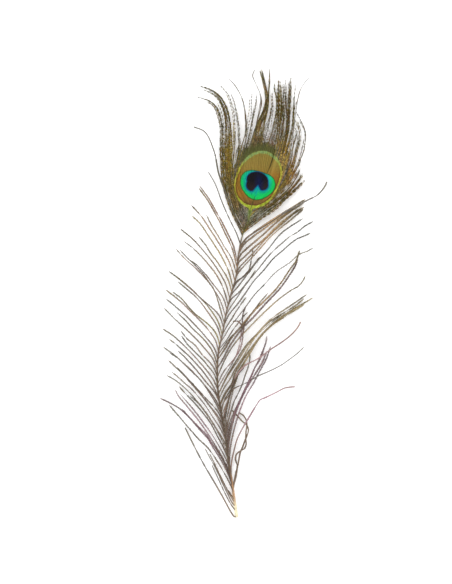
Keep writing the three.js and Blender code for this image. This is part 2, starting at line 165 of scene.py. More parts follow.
# Spreads, in mm, of how far a barb stands aside, how far it sways (after the number of
# sways), how far it hooks over at its tip, and how far it rises.
ASIDE = 0.55
SWAYS = (7, 0.28)
HOOK = {PLUME: 0.3, CROWN: 0.8, SPIKE: 0.15, WISP: 0.3, DOTTED: 0.3}
RISES = 0.4
# How far a barb runs, in mm, while it turns half over once it is loose, and the angle at
# which it laps its neighbour while it isn't.
HALF_TURN = {WISP: 22.0, PLUME: 2.8, CROWN: 2.7, SPIKE: 24.0, DOTTED: 2.1}
TILT = 0.16
# Barbs lie in three layers over the eye, this far apart.
LAYERS = 3
LAYER_HEIGHT = 0.12
# The light on a barb where it lies in the vane, and, where it is loose, on edge and how
# much more when it is turned to the light.
VANE_LIGHT = 0.9
EDGE_LIGHT = 0.4
FACE_LIGHT = 0.8
# The longest barb of each lock stands this far over the others, and is this dark.
MARKED_LIFT = 0.5
SPIKE_DIM = 0.58
MARKED_DIM = 0.7

# Each line of barbs: its kind, where it leaves the shaft (a Y), where it then runs, and its
# colour where that is its own and not that of its place on the feather.
RIGHT_LINES = [
    (STRAY, -131, [(-5.2, -120), (-4.3, -114.9), (-5.4, -109.9), (-4.7, -107.1), (-2, -104.8),
        (0.7, -103), (1.6, -100.7), (1.4, -96.6), (1.6, -92.1), (2.2, -87.5), (1.6, -84.3),
        (-0.2, -81.6), (-2.9, -80)], "umber"),
    (STRAY, -130, [(-4.6, -120), (-3.8, -114.9), (-2.9, -109.4), (-2, -105.3), (-0.6, -102.1),
        (0.7, -98.4), (2.1, -94.8), (3.2, -91.1), (2.1, -88), (-1.1, -85.2), (-3.6, -82.5),
        (-7.5, -78.4)], "umber"),
    (STRAY, -122, [(-8.2, -114), (-6.6, -105.7), (-4.3, -97.1), (-0.2, -88.9), (3.9, -82),
        (8.9, -73.8), (10.8, -71.1), (14, -69.7), (22.6, -65.6), (26.7, -63.5), (30.4, -62.8),
        (34, -62.6)], "mauve"),
    (LOOSE, -116, [(-8.9, -103.5), (-7, -93.4), (-4.7, -84.7), (-2, -76.5), (1.6, -67.9),
        (6.2, -60.1), (10.8, -51.4), (14.9, -44.1), (16.7, -39.6), (18.1, -35.9)], "mauve"),
    (LOOSE, -111, [(-9.6, -99), (-8, -90), (-5.7, -81), (-3, -73.5), (0.3, -66.5), (4.8, -58.5),
        (9.2, -51.5), (13, -45), (15.8, -39)], "mauve"),
    (LOOSE, -107, [(-10, -96.5), (-8.9, -89.8), (-7.5, -84.3), (-3.8, -73.8), (-1.5, -69.2),
        (3.9, -59.7), (9.4, -50.5), (11.7, -46.9), (13.5, -43.2)], "mauve"),
    (LOOSE, -102.5, [(-9.9, -92), (-7.5, -84.5), (-3.8, -75), (-0.2, -66), (3.9, -57.4),
        (8, -48.7), (10.8, -44.6), (13.1, -39.1), (14.7, -33.6), (15.6, -29.1)], "mauve"),
    (STRAY, -95, [(-10.2, -85.2), (-7.9, -77), (-6.1, -71.5), (-3.8, -67), (-0.6, -59.7),
        (0.7, -55.5), (2.6, -50.5), (3.9, -45.5), (4.2, -42.3), (3.5, -40)], "slate"),
    (LOOSE, -91, [(-11.8, -81), (-10.6, -74.7), (-8.9, -67.5), (-7.2, -62.5), (-4.9, -56.5),
        (-2.5, -52.8), (1, -48.8)], "umber"),
    (STRAY, -86, [(-12, -77), (-9.8, -70.1), (-7.9, -63.8), (-6.1, -57.8), (-3.8, -53.3),
        (1.6, -47.8), (9.4, -43.7), (17.6, -37.8), (26.7, -31.8), (31.3, -28.2), (36.6, -22.1),
        (38, -19.4)], "pink"),
    (WISP, -80, [(-12.8, -72), (-10, -68.5), (-7, -64.2), (1.6, -59.7), (8.9, -55.5), (19, -51),
        (24.5, -48.2), (29.9, -44.6), (35, -40.9), (40, -36.4)], "slate"),
    (PLUME, -74, [(-12, -66), (-7.9, -60.1), (-5.7, -53.7), (-2.9, -48.7), (3.9, -38.7),
        (12.9, -26.7), (20.2, -19.8), (26.6, -15.2), (33.4, -11.1), (38.9, -7.9),
        (46.2, -3.6)], "straw"),
    (PLUME, -67, [(-13, -59.2), (-10.2, -53.7), (-7.5, -49.2), (-4.7, -44.6), (2.6, -33.6),
        (8.3, -27.6), (14.7, -21.2), (21.1, -16.6), (26.6, -13.4), (34.3, -8.4),
        (40, -3.6)], "olive"),
    (LOOSE, -63, [(-12.5, -55), (-8, -47.5), (-4.4, -40), (-2.5, -33.5), (-1.6, -27), (-1, -21.2),
        (-0.5, -14.3), (1.5, -8.9)], "pink"),
    (LOOSE, -56, [(-13.5, -46.5), (-9.5, -39), (-5.4, -33), (1.5, -25.3), (8.3, -18.4),
        (14.7, -12.1), (22.9, -4.8), (31.1, 1.2), (37.1, 4.8), (39.8, 8), (41.4, 11.2)], "straw"),
    (BROAD, -50, [(-13.2, -43), (-10, -36.5), (-6.5, -31), (0.1, -22.5), (5.6, -17.1),
        (11, -11.1), (17.4, -4.3), (24.3, 3), (30.2, 11.2), (32.9, 15.3), (35.2, 19.9),
        (35.7, 23.5)], "pink"),
    (BROAD, -44, [(-12, -36.5), (-8.5, -30.5), (-5, -26), (0.5, -20.3), (6, -13), (12.9, -6.1),
        (20.2, 1.2), (26.1, 8.5), (31.6, 16.7), (34.8, 20.8), (36.1, 24.5),
        (37.5, 28.1)], "copper"),
    (LOOSE, -37.5, [(-11.5, -31.5), (-8, -26), (-4.5, -21), (-1, -16.5), (2.5, -13)], "umber"),
    (LOOSE, -33, [(-11.9, -27.5), (-9.9, -23.9), (-3.6, -15.7), (1.9, -8.4), (6.5, -2),
        (13.8, 5.7), (21.1, 13.5), (30.2, 19.9), (37.1, 25.8), (42.1, 27.6),
        (46.2, 29.9)], "slate"),
    (LOOSE, -28, [(-11, -22), (-7.5, -16.5), (-4.5, -11.5), (-1.5, -7), (1.5, -3)], "umber"),
    (LOOSE, -22, [(-10.4, -15.7), (-4, -7.5), (1, -0.6), (7.4, 8.5), (12.9, 14.4), (19.7, 22.6),
        (26.6, 28.6), (31.1, 32.7), (35.7, 35.9), (40.2, 37.7), (44.6, 39.7)], "slate"),
    (LOOSE, -16, [(-9, -10), (-5.5, -5), (-2, 0.5), (1.5, 5.5), (4.5, 10), (8, 15)], "slate"),
    (LOOSE, -11, [(-8.6, -4.8), (-3.1, 0.3), (3.7, 8.5), (10.1, 16.2), (17.4, 25.4), (26.6, 34),
        (31.1, 37.7), (35.7, 40.4), (40.2, 44.1), (46.2, 47.5)], "slate"),
    (LOOSE, -5, [(-7.6, -0.5), (-4.2, 3.5), (-0.8, 8), (3.5, 13.5), (7, 18.8),
        (10.6, 23.8)], "slate"),
    (LOOSE, 0, [(-5.4, 5.7), (1, 12.1), (10.1, 22.2), (17.4, 30.4), (22, 36.3), (25.6, 40),
        (34.8, 46.4), (39.8, 49.3)], "slate"),
    (LOOSE, 3.5, [(-4.2, 8), (-0.8, 10), (2.8, 13.5), (4.2, 17.1), (5.1, 21.7), (6, 25.8),
        (6, 29)], "umber"),
    (BROAD, 7.5, [(-4, 12.6), (-0.8, 16.7), (6.5, 24.5), (13.8, 32.7), (17.4, 36.8), (23.4, 42.2),
        (31.9, 49.2), (39.6, 55.7)], "copper"),
    (BROAD, 14, [(-3.1, 20.3), (0.1, 23.5), (6.5, 29.5), (12.9, 34.9), (22, 43.6), (27.6, 48.5),
        (34.3, 53.2), (40.1, 56.8)], "copper"),
    (BROAD, 20, [(-2.2, 24.9), (2.4, 29.5), (8.3, 34.5), (14.7, 40), (20.3, 45.3), (27.6, 51.2),
        (35.3, 56.5), (40.3, 59.8)], "copper"),
    (BROAD, 25.5, [(0.1, 32), (6.5, 37.5), (12.9, 42), (18.8, 46.3), (25.6, 51), (33, 55.8),
        (38.9, 59.3)], "copper"),
    (BROAD, 29, [(0.5, 34.5), (6.5, 39.8), (12.9, 44.2), (18.3, 48), (24.3, 51.8), (32.6, 57.2),
        (40.9, 62.2)], "copper"),
    (STRAY, 31, [(2, 36.5), (9, 41.2), (18.5, 47.4), (28, 53.6), (35.5, 57.6), (42.6, 61.5),
        (48.9, 64.8), (51.9, 67.8), (54.3, 71.2), (55.5, 73.9)], "slate"),
]
LEFT_LINES = [
    (STRAY, -149.2, [(-6.3, -148.7), (-7.5, -147), (-9.3, -143.9), (-13.1, -136.8),
        (-17.4, -129.2), (-26.9, -113.1), (-33, -101.8), (-39, -89.9)], "slate"),
    (WISP, -145.5, [(-8.4, -140.5), (-11.3, -135), (-14.2, -129), (-17.8, -121.5),
        (-21, -115)], "slate"),
    (WISP, -142.5, [(-7.9, -139), (-10.5, -133.5), (-13.1, -128.3), (-18.8, -116),
        (-23.1, -108.4), (-25.5, -104.1)], "slate"),
    (WISP, -140, [(-9, -134.5), (-12.2, -128), (-15.8, -120.5), (-19.3, -113.5),
        (-22.5, -107.5)], "umber"),
    (LOOSE, -138, [(-9, -133), (-11.3, -129.5), (-14, -124.5), (-16.9, -119),
        (-19.5, -113)], "umber"),
    (LOOSE, -134, [(-7.9, -129.7), (-12.2, -120.7), (-17.4, -111.7), (-24.5, -101.8),
        (-29.2, -97.5), (-34, -92.3), (-41.1, -84.2), (-49.4, -75)], "umber"),
    (LOOSE, -126.5, [(-10.3, -118.8), (-15, -108.9), (-21.2, -99.4), (-25, -93.5), (-29.2, -89.4),
        (-37.8, -80.9), (-42, -77.1), (-46.8, -74.3), (-55.5, -70.4)], "mauve"),
    (LOOSE, -121, [(-12.2, -112.7), (-17.9, -102.7), (-24.5, -92.3), (-30.2, -84.2),
        (-37.3, -75.7), (-43.5, -68.6), (-45.8, -64.8)], "mauve"),
    (LOOSE, -113, [(-12.4, -105), (-17.4, -95.1), (-22.1, -86.1), (-27, -79.5), (-33, -72.5),
        (-38.5, -67), (-43, -62.5)], "umber"),
    (LOOSE, -104, [(-13.8, -97), (-19, -88.5), (-26.5, -77.5), (-38, -64), (-45.5, -58),
        (-51, -55)]),
    (LOOSE, -91.5, [(-15.8, -84), (-23, -74), (-33.5, -61.5), (-43, -51.5), (-50, -45)]),
    (LOOSE, -79, [(-18, -72), (-25.5, -61.5), (-37, -49.5), (-46, -41.5), (-53.5, -36.5)]),
    (LOOSE, -66, [(-19.8, -58), (-27, -48.5), (-38.5, -36), (-47, -28.5), (-54, -24)]),
    (LOOSE, -53, [(-19.8, -45), (-26, -36.5), (-38, -24), (-47, -16), (-53, -10)]),
    (LOOSE, -40, [(-18.5, -32), (-24, -24), (-36, -11.5), (-45, -3), (-52, 2)]),
    (LOOSE, -28, [(-16.8, -19.5), (-22, -11), (-33.5, 1.5), (-42, 9), (-49.5, 14.5)]),
    (LOOSE, -16, [(-14.8, -7), (-19.5, 2), (-30, 14.5), (-39, 22.5), (-45, 29)]),
    (LOOSE, -4, [(-12, 6), (-17, 15), (-26, 27), (-34, 36), (-42, 42.5)]),
    (LOOSE, 8, [(-9, 19), (-13.5, 28), (-21, 40.5), (-28, 51), (-34.5, 58.5)]),
    (LOOSE, 20, [(-7, 31.5), (-11, 40), (-17.5, 52.5), (-23.5, 63), (-29.5, 71)]),
    (WISP, 32, [(-5, 40), (-9, 48), (-14.5, 60.5), (-19, 72.5), (-23.5, 80.5)]),
]

# The barbs that pass the eye, from the outermost line in to the middle of the crown.
# The last number is the share of the line's barbs that run on to the tip of its lock.
LEFT_FAN = [
    (PLUME, 40, [(-8.5, 57.5), (-13, 72), (-14.3, 88.5), (-14.6, 104.5), (-15, 113),
        (-16.4, 119.5), (-18.8, 124.2), (-22, 127.2), (-31, 130.4)], 0.9),
    (PLUME, 42, [(-7, 58), (-11, 73.5), (-12.2, 90), (-12, 104), (-12.3, 114), (-14.3, 123),
        (-17.5, 129), (-21.5, 132.5), (-27, 135.3)], 0.6),
    (PLUME, 44.5, [(-5.5, 59.5), (-9, 75), (-9.5, 92), (-8.8, 104), (-9.3, 113), (-11.2, 121),
        (-13.4, 126.4), (-16.3, 130.9), (-19.7, 133.6), (-23.5, 135.8), (-29.9, 137.9)], 0.6),
    (PLUME, 46.3, [(-4, 60.5), (-7.6, 75.5), (-6.6, 92), (-5.6, 104), (-5.9, 112), (-6.9, 122),
        (-8.4, 126.8), (-9.9, 130.9), (-12.5, 134.5), (-15.8, 138.2)], 0.05),
    (DOTTED, 47.5, [(-2.6, 61.5), (-6, 76), (-4.6, 88), (-3.4, 96), (-3.3, 104), (-3.6, 111),
        (-4.6, 118), (-5.7, 123.9), (-6.9, 128.6), (-8.8, 133.1)], 0.2),
    (WISP, 53, [(-1, 63.5), (-5, 72), (-5.2, 82), (-2.5, 91), (-0.3, 100), (1.4, 106.2),
        (1.3, 118.3), (0.6, 123.1), (-0.7, 128.3), (-2.9, 133.1), (-5.8, 137.9),
        (-9.9, 142.6)], 0.08),
    (DOTTED, 57, [(0.5, 66), (-2.5, 74), (-2.5, 84), (-0.3, 93), (2.3, 104), (3.7, 112.8),
        (5, 118.3), (5.1, 123.8), (5.4, 130.1), (5.6, 133.1)], 0.2),
    (DOTTED, 59, [(2, 68), (-1, 76), (-0.6, 85.5), (1.2, 94), (3.2, 103), (5.6, 113.9),
        (6.7, 119.1), (7.4, 122.7), (8.2, 127.2), (8.7, 132.3)], 0.35),
    (WISP, 61, [(3, 69.5), (0.5, 77), (1, 86), (3.5, 95), (6.3, 105), (9, 113.5), (10.6, 119.5),
        (11.9, 127.5), (11.1, 131.6), (9.6, 135.3), (7.4, 140.4), (6, 144.5), (7.4, 148.5)], 0.1),
    (SPIKE, 65, [(5.5, 73), (3.8, 80), (4.5, 88), (6.2, 97), (8.4, 106), (10.6, 112), (13.2, 118),
        (15, 123), (15.8, 128), (15.2, 133.1), (14, 137.5), (13.1, 142), (11.5, 149.4)], 0.95),
    (SPIKE, 70, [(8.8, 77), (8, 84), (9, 91), (10.6, 98.5), (12.2, 106), (13.6, 113),
        (15.3, 120.5), (16.4, 127), (16.7, 133), (17.1, 140.4), (17.3, 149.4)], 0.4),
    (DOTTED, 72.5, [(10.7, 79), (10.6, 86), (11.7, 92.5), (13.7, 99.7), (15.5, 106.7),
        (17.1, 113.5), (18.6, 120.5), (19.2, 127.5), (18.9, 133.5)], 0.5),
    (PLUME, 75, [(12.5, 81), (13, 87.5), (14.3, 94), (16.8, 101), (18.8, 107.5), (20.6, 114),
        (22, 121), (22, 128), (21, 134), (20.3, 140.4)], 0.9),
    (CROWN, 79.5, [(17.4, 86), (19.5, 92), (20.9, 98), (22, 105), (23, 112.5), (23.6, 122),
        (23.5, 130), (23.3, 136.7), (23.6, 142.3)], 0.85),
]
RIGHT_FAN = [
    (PLUME, 40.8, [(7.6, 45.8), (12.6, 49.8), (19.3, 54.5), (24.3, 58.5), (27.6, 61.8),
        (34.3, 68.2), (36.9, 70.8), (40.8, 75.4)], 0.9),
    (PLUME, 43, [(9.3, 50.5), (15.3, 55.2), (20.9, 59.5), (25.9, 63.5), (29.6, 66.5),
        (34.3, 71.5), (36.3, 74.2), (39.6, 79.8)], 0.85),
    (PLUME, 45, [(9, 52), (14.3, 56.3), (20.9, 61.3), (25.9, 65.3), (29.6, 68.9), (34.3, 75.4),
        (36.3, 79), (37.7, 82.8)], 0.7),
    (DOTTED, 47.2, [(10.9, 56.8), (17.6, 61.8), (24.3, 68.2), (31.6, 75.8), (34.3, 80.2),
        (36.6, 84.5), (38.2, 89.5), (40, 94.4), (40.8, 99.9), (40.8, 107.3), (38, 114.3),
        (36.5, 117.6), (34.8, 120.8)], 0.5),
    (CROWN, 50.5, [(11.5, 58.3), (18.5, 64), (24.5, 70), (28.5, 76), (31.3, 82), (33.2, 87),
        (35.8, 97), (36.9, 100.6), (37.5, 104.3), (36.9, 108), (35.4, 111.7),
        (34.3, 115.4)], 0.75),
    (DOTTED, 52.3, [(12, 59.8), (19, 65.7), (24.5, 72), (28, 78.5), (30, 84), (31.3, 88.5),
        (33.2, 98.8), (34.5, 103), (35, 107)], 0.5),
    (WISP, 54, [(14.5, 61), (22.5, 69), (27.5, 79), (29.8, 88), (31.5, 97), (32.8, 107),
        (34, 116), (35.1, 123.5), (36.5, 130.9), (37.6, 134.5), (39.1, 137.5),
        (43.5, 143.2)], 0.12),
    (CROWN, 58, [(14.5, 64), (20.5, 71), (25, 80.5), (28, 90), (30.3, 99), (31.7, 105.4),
        (32.6, 111.5), (33.3, 123), (33.7, 128.5), (34, 133.1), (34.6, 138.2)], 0.65),
    (CROWN, 63, [(14.5, 68.5), (19.5, 75), (23.5, 83.5), (26, 92), (28.1, 101), (29.5, 109),
        (30.2, 117), (30.4, 125), (31.3, 138.5), (31.6, 144.1)], 0.7),
    (DOTTED, 69, [(15.5, 73.5), (19.3, 79.5), (22.3, 87), (24.5, 95), (26.6, 103), (28.3, 110),
        (28.8, 117), (28.2, 124), (27.9, 130), (28.1, 136.7), (27.9, 142.6)], 0.4),
    (DOTTED, 75, [(17.3, 79), (20, 85.5), (22, 92), (23.8, 99), (25.3, 107), (26.2, 115),
        (26, 122), (26, 128), (26.6, 134), (27.2, 139)], 0.35),
    (CROWN, 79.5, [(18.5, 84.5), (20.4, 91), (21.8, 97.5), (23, 105), (24, 113), (24.8, 121),
        (24.8, 129), (24.4, 136.7), (24.4, 141)], 0.7),
]
# The pieces they are built in: name, lines, hand, the roots each runs between, and how
# closely its barbs stand, as a share of the usual gap.
FANS = [
    ("plume_left", LEFT_FAN, -1, 39.4, 48.6, 0.5),
    ("crown_left", LEFT_FAN, -1, 48.6, 80.2, 1.0),
    ("flank_right", RIGHT_FAN, 1, 40.4, 56, 0.7),
    ("crown_right", RIGHT_FAN, 1, 56, 80.2, 1.0),
]
STRAY_ARC = (STRAY, 38, [(-10.5, 62.5), (-16.5, 79), (-20, 95), (-26.5, 107.5), (-33, 110.5)])

# Barbs' broken tips that curl back off another barb: the root of the line they hang on, how
# far along it, and the way they then run from there.
CURLS = [
    (-56, 0.34, [(2.2, 3.5, 0.5), (1, 8.3, 0.7), (-1.6, 10.8, 0.5), (-4.6, 10.6, 0)]),
]

# Where the colours of the barbs that pass the eye pool: a place, its reach, a swatch and how
# strongly it shows.
POOLS = [
    ((18, 104), (3.5, 7), (158, 142, 140), 0.65),
    ((28.5, 92), (4, 9), (176, 142, 60), 0.6),
    ((-9.5, 92), (6, 17), (164, 140, 46), 0.55),
    ((33, 80), (5, 10), (160, 108, 56), 0.5),
    ((-14.2, 102), (1.6, 20), (62, 58, 28), 0.6),
    ((-3, 70), (5, 12), (92, 92, 60), 0.6),
    ((-1, 51), (3.6, 7.5), (138, 126, 120), 0.95),
    ((10, 52.5), (6, 4.2), (132, 134, 118), 0.95),
    ((4, 51.5), (5, 5), (150, 160, 144), 0.55),
    ((33, 70), (7, 7), (128, 98, 54), 0.5),
    ((7, 99), (9, 5), (112, 98, 72), 0.7),
]

# The eye: its outlines are rounds pulled out of true, each given by its centre and the
# mean, then the cosine and sine parts of its reach, turn by turn, from the leaning axis.
EYE_LEAN = math.radians(14)
RIM_CENTRE = (9.6, 75.2)
RIM_REACH = (16.6, 0.09, -0.16, 2.37, 0.87)
RIM_POINT = (4.6, 64)
RIM_POINT_WIDTH = 1.3
RIM_POINT_DEPTH = 2.2
DISC_CENTRE = (9.5, 71.65)
DISC_REACH = (10.65, 0.1, -0.39, -1.11, 0.03, -0.66, 0.01)
HEART_ROUNDS = [(9.2, 74.8, 7.1, 5.5), (5.3, 71.6, 3.5, 3.7), (12.8, 71.8, 3.5, 3.5)]
NOTCH = (9.7, 72.2)
NOTCH_SPREAD = math.radians(33)
NOTCH_LEAN = math.radians(8)
# The web under the eye's barbs: how far past the rim it reaches all round, and further at its
# crown and its foot, the height of its edge, how far its middle stands over that, its
# thickness, and how many squares it has each way.
WEB_REACH = 0.8
WEB_CROWN = 5
WEB_FOOT = 9.0
WEB_HEIGHT = 0.45
WEB_DOME = 0.25
WEB_THICKNESS = 0.25
WEB_SQUARES = 56

# ---------------------------------------------------------------- settings


def srgb(red, green, blue):
    """A colour given the way a swatch is, 0 to 255, as the linear colour Blender uses."""
    channels = (red / 255, green / 255, blue / 255)
    return tuple(c / 12.92 if c <= 0.04045 else ((c + 0.055) / 1.055) ** 2.4 for c in channels)


def colour_setting(name, description, swatch):
    return bpy.props.FloatVectorProperty(
        name=name, description=description, subtype="COLOR", size=3, min=0, max=1,
        default=srgb(*swatch),
    )


def length_setting(name, description, millimetres):
    return bpy.props.FloatProperty(
        name=name, description=description, default=millimetres * MM, min=0,
        unit="LENGTH", precision=5,
    )


class FeatherShaftSettings(bpy.types.PropertyGroup):
    wall: length_setting("Quill wall", "Thickness of the wall at the quill's cut end", 0.3)
    hollow: length_setting("Hollow", "How deep the quill's open end runs in", 6)
    cream: colour_setting("Cream", "The bare quill's end", (252, 244, 206))
    tan: colour_setting("Tan", "Where the quill turns to shaft", (196, 150, 108))
    brown: colour_setting("Brown", "The lower shaft", (98, 82, 62))
    grey: colour_setting("Grey", "The middle shaft", (124, 108, 92))
    green: colour_setting("Green", "The shaft where it enters the eye", (116, 126, 60))


class FeatherBarbSettings(bpy.types.PropertyGroup):
    spacing: length_setting("Barb spacing", "Gap between loose barbs along the shaft", 4.1)
    close_spacing: length_setting("Close spacing", "Gap between barbs that pass the eye", 0.42)
    strip: length_setting("Strip width", "Width of a barb where the vane is closed", 0.74)
    blade_gap: length_setting("Blade gap", "Gap between the little blades along a barb", 0.25)
    seed: bpy.props.IntProperty(name="Seed", description="Changes how barbs stray", default=7)


class FeatherEyeSettings(bpy.types.PropertyGroup):
    heart: colour_setting("Heart", "The dark heart", (24, 22, 28))
    navy: colour_setting("Navy", "The blue sheen inside the heart", (16, 28, 78))
    blue: colour_setting("Blue", "The rim of the heart", (14, 92, 150))
    cyan: colour_setting("Cyan", "Round the heart and below its notch", (16, 176, 150))
    jade: colour_setting("Jade", "The bright disc", (22, 208, 118))
    green: colour_setting("Green", "The disc's outer part", (26, 212, 96))
    rust: colour_setting("Rust", "The band at the sides", (160, 112, 40))
    umber: colour_setting("Umber", "The band below the disc", (124, 88, 52))
    bronze: colour_setting("Bronze", "The cap above the disc", (150, 126, 58))
    lime: colour_setting("Lime", "The rim's foot", (186, 204, 66))
    yellow: colour_setting("Yellow", "The rim at the sides", (186, 180, 62))
    sage: colour_setting("Sage", "The rim under the crown", (136, 166, 100))


class FeatherStageSettings(bpy.types.PropertyGroup):
    camera_height: length_setting("Camera height", "Height of the camera over the floor", 919)
    lens: bpy.props.FloatProperty(
        name="Lens", description="Focal length in millimetres", default=85, unit="CAMERA")
    floor: colour_setting("Floor", "The pale floor", (252, 252, 252))
    glow: bpy.props.FloatProperty(
        name="Glow", description="How far the floor lights itself, as a light table", default=0.16)
    ambient: bpy.props.FloatProperty(
        name="Ambient", description="Strength of the light from all round", default=1.1)
    lamp: bpy.props.FloatProperty(
        name="Lamp", description="Power of the soft overhead lamp", default=5, unit="POWER")


# ---------------------------------------------------------------- lines and frames


def shaft_height(y, radius):
    """Height of the shaft's centre line, in mm: it touches down at the quill and the eye."""
    quill_y = SHAFT[0][1]
    share = np.clip((y - quill_y) / (ARCH_END_Y - quill_y), 0, 1)
    height = np.maximum(radius, VANE_THICKNESS * share) + SHAFT_ARCH * np.sin(np.pi * share) ** 2
    return height - EYE_SINK * ease(y, *SINKS)


def shaft_at(y):
    """Point on the shaft's centre line at a Y, in mm."""
    x, stations, radius = np.array(SHAFT).T
    thickness = np.interp(y, stations, radius)
    return np.array([np.interp(y, stations, x), y, shaft_height(y, thickness)])


def reach_along(line):
    """How far along a line each of its points is."""
    steps = np.linalg.norm(np.diff(line, axis=0), axis=1)
    return np.concatenate([[0], np.cumsum(steps)])


def evenly(curve, count):
    """The same curve with its points evenly spaced."""
    reach = reach_along(curve)
    wanted = np.linspace(0, reach[-1], count)
    return np.column_stack([np.interp(wanted, reach, axis) for axis in curve.T])


def smooth_line(points, count):
    """Evenly spaced points on a smooth curve through the ones given."""
    p = np.asarray(points, float)
    knots = reach_along(p)
    slopes = np.gradient(p, knots, axis=0)
    fine = np.linspace(0, knots[-1], 12 * len(p))
    i = np.clip(np.searchsorted(knots, fine, side="right") - 1, 0, len(p) - 2)
    gap = (knots[i + 1] - knots[i])[:, None]
    s = (fine - knots[i])[:, None] / gap
    curve = ((2 * s**3 - 3 * s**2 + 1) * p[i] + (s**3 - 2 * s**2 + s) * gap * slopes[i]
             + (3 * s**2 - 2 * s**3) * p[i + 1] + (s**3 - s**2) * gap * slopes[i + 1])
    return evenly(curve, count)


def barb_line(kind, root, path, count):
    """A line of barbs from its root on the shaft, lifting and coming down to rest."""
    base = shaft_at(root)
    points = [base]
    for i, (x, y) in enumerate(path):
        share = (i + 1) / len(path)
        settle = base[2] + (REST[kind] - base[2]) * share
        points.append([x, y, settle + LIFT[kind] * math.sin(math.pi * share)])
    return smooth_line(points, count)


def frame_of(line):
    """Unit vectors along a line, across it level with the floor, and square to both."""
    along = np.gradient(line, axis=0)
    along /= np.linalg.norm(along, axis=1)[:, None] + 1e-12
    across = np.cross(along, [0.0, 0.0, 1.0])
    across /= np.linalg.norm(across, axis=1)[:, None] + 1e-12
    return along, across, np.cross(across, along)


def rolled(across, above, roll):
    """The same two vectors turned about the line by an angle at each point."""
    c, s = np.cos(roll)[:, None], np.sin(roll)[:, None]
    return c * across + s * above, c * above - s * across


def ease(value, low, high):
    """0 below low, 1 above high, and a smooth rise between them."""
    share = np.clip((value - low) / (high - low), 0, 1)
    return share * share * (3 - 2 * share)


def wander(rng, count, waves, size):
    """A smooth random line of values, with so many waves along it."""
    knots = rng.normal(0, size, waves + 2)
    place = np.linspace(0, waves + 1, count)
    i = np.clip(place.astype(int), 0, waves)
    return knots[i] + (knots[i + 1] - knots[i]) * ease(place - i, 0, 1)


# ---------------------------------------------------------------- the eye's fields


def leaning(x, y, centre):
    """How far a place is from a centre, across and up the leaning eye."""
    dx, dy = x - centre[0], y - centre[1]
    side = dx * math.cos(EYE_LEAN) - dy * math.sin(EYE_LEAN)
    rise = dx * math.sin(EYE_LEAN) + dy * math.cos(EYE_LEAN)
    return side, rise


def uneven_reach(turn, reach):
    """How far an uneven round reaches at an angle off the leaning axis."""
    radius = np.full_like(turn, reach[0])
    for k in range(1, (len(reach) + 1) // 2):
        radius += reach[2 * k - 1] * np.cos(k * turn) + reach[2 * k] * np.sin(k * turn)
    return radius


def out_of_round(x, y, centre, reach):
    """Distance out from an uneven round, in mm, negative inside it."""
    side, rise = leaning(x, y, centre)
    return np.hypot(side, rise) - uneven_reach(np.arctan2(side, rise), reach)


def rim_distance(x, y):
    return out_of_round(x, y, RIM_CENTRE, RIM_REACH)


def rim_point(x, y):
    """How far the rim's outer edge is drawn out to a point where the shaft comes in."""
    point = RIM_POINT_DEPTH * np.exp(-np.abs((x - RIM_POINT[0]) / RIM_POINT_WIDTH) ** 1.3)
    return point * (y < RIM_POINT[1])


def stem_distance(x, y):
    """Distance sideways from the shaft's centre line, in mm."""
    centre, stations, _ = np.array(SHAFT).T
    return np.abs(x - np.interp(y, stations, centre))


def disc_distance(x, y):
    return out_of_round(x, y, DISC_CENTRE, DISC_REACH)


def heart_distance(x, y):
    """Distance out from the dark heart: rounds run together, with a notch cut up into them."""
    side, rise = leaning(x, y, HEART_ROUNDS[0][:2])
    wide, tall = HEART_ROUNDS[0][2:]
    nearest = (np.hypot(side / wide, rise / tall) - 1) * min(wide, tall)
    for cx, cy, wide, tall in HEART_ROUNDS[1:]:
        nearest = np.minimum(nearest, (np.hypot((x - cx) / wide, (y - cy) / tall) - 1) * tall)
    dx, dy = x - NOTCH[0], NOTCH[1] - y
    down = dy * math.cos(NOTCH_LEAN) - dx * math.sin(NOTCH_LEAN)
    out = np.abs(dx * math.cos(NOTCH_LEAN) + dy * math.sin(NOTCH_LEAN))
    cut = down * math.sin(NOTCH_SPREAD) - out * math.cos(NOTCH_SPREAD)
    return np.maximum(nearest, cut)


# What a point of the eye's pieces is told of the outlines, by the name its material reads.
EYE_FACTS = {
    "rim": rim_distance,
    "point": rim_point,
    "disc": disc_distance,
    "heart": heart_distance,
    "stem": stem_distance,
}


# ---------------------------------------------------------------- meshes from arrays


class Pile:
    """Points, triangles, colours and barb facts, gathered into one mesh."""

    def __init__(self):
        self.points, self.triangles, self.tints, self.smooth = [], [], [], []
        self.facts = []
        self.count = 0

    def add(self, points, triangles, tints, facts, smooth):
        self.points.append(points)
        self.triangles.append(triangles + self.count)
        self.tints.append(tints)
        self.facts.append(facts)
        self.smooth.append(np.full(len(triangles), smooth))
        self.count += len(points)

    def build(self, name, material, eye=False):
        """Makes the piece, in metres, with its colours, barb facts and top-down UV map."""
        points = np.concatenate(self.points)
        points[:, 2] = np.maximum(points[:, 2], LOWEST_POINT)
        triangles = np.concatenate(self.triangles)
        corners = 3 * len(triangles)
        mesh = bpy.data.meshes.new(name)
        mesh.vertices.add(len(points))
        mesh.vertices.foreach_set("co", (points * MM).astype(np.float32).ravel())
        mesh.loops.add(corners)
        mesh.loops.foreach_set("vertex_index", triangles.astype(np.int32).ravel())
        mesh.polygons.add(len(triangles))
        mesh.polygons.foreach_set("loop_start", np.arange(0, corners, 3, dtype=np.int32))
        mesh.polygons.foreach_set("use_smooth", np.concatenate(self.smooth))
        mesh.update(calc_edges=True)
        facts = np.concatenate(self.facts)
        store_looks(mesh, np.concatenate(self.tints), *facts.T)
        if eye:
            store_eye_facts(mesh, points)
        lay_out(mesh, points)
        piece = bpy.data.objects.new(name, mesh)
        bpy.context.scene.collection.objects.link(piece)
        mesh.materials.append(material)
        return piece


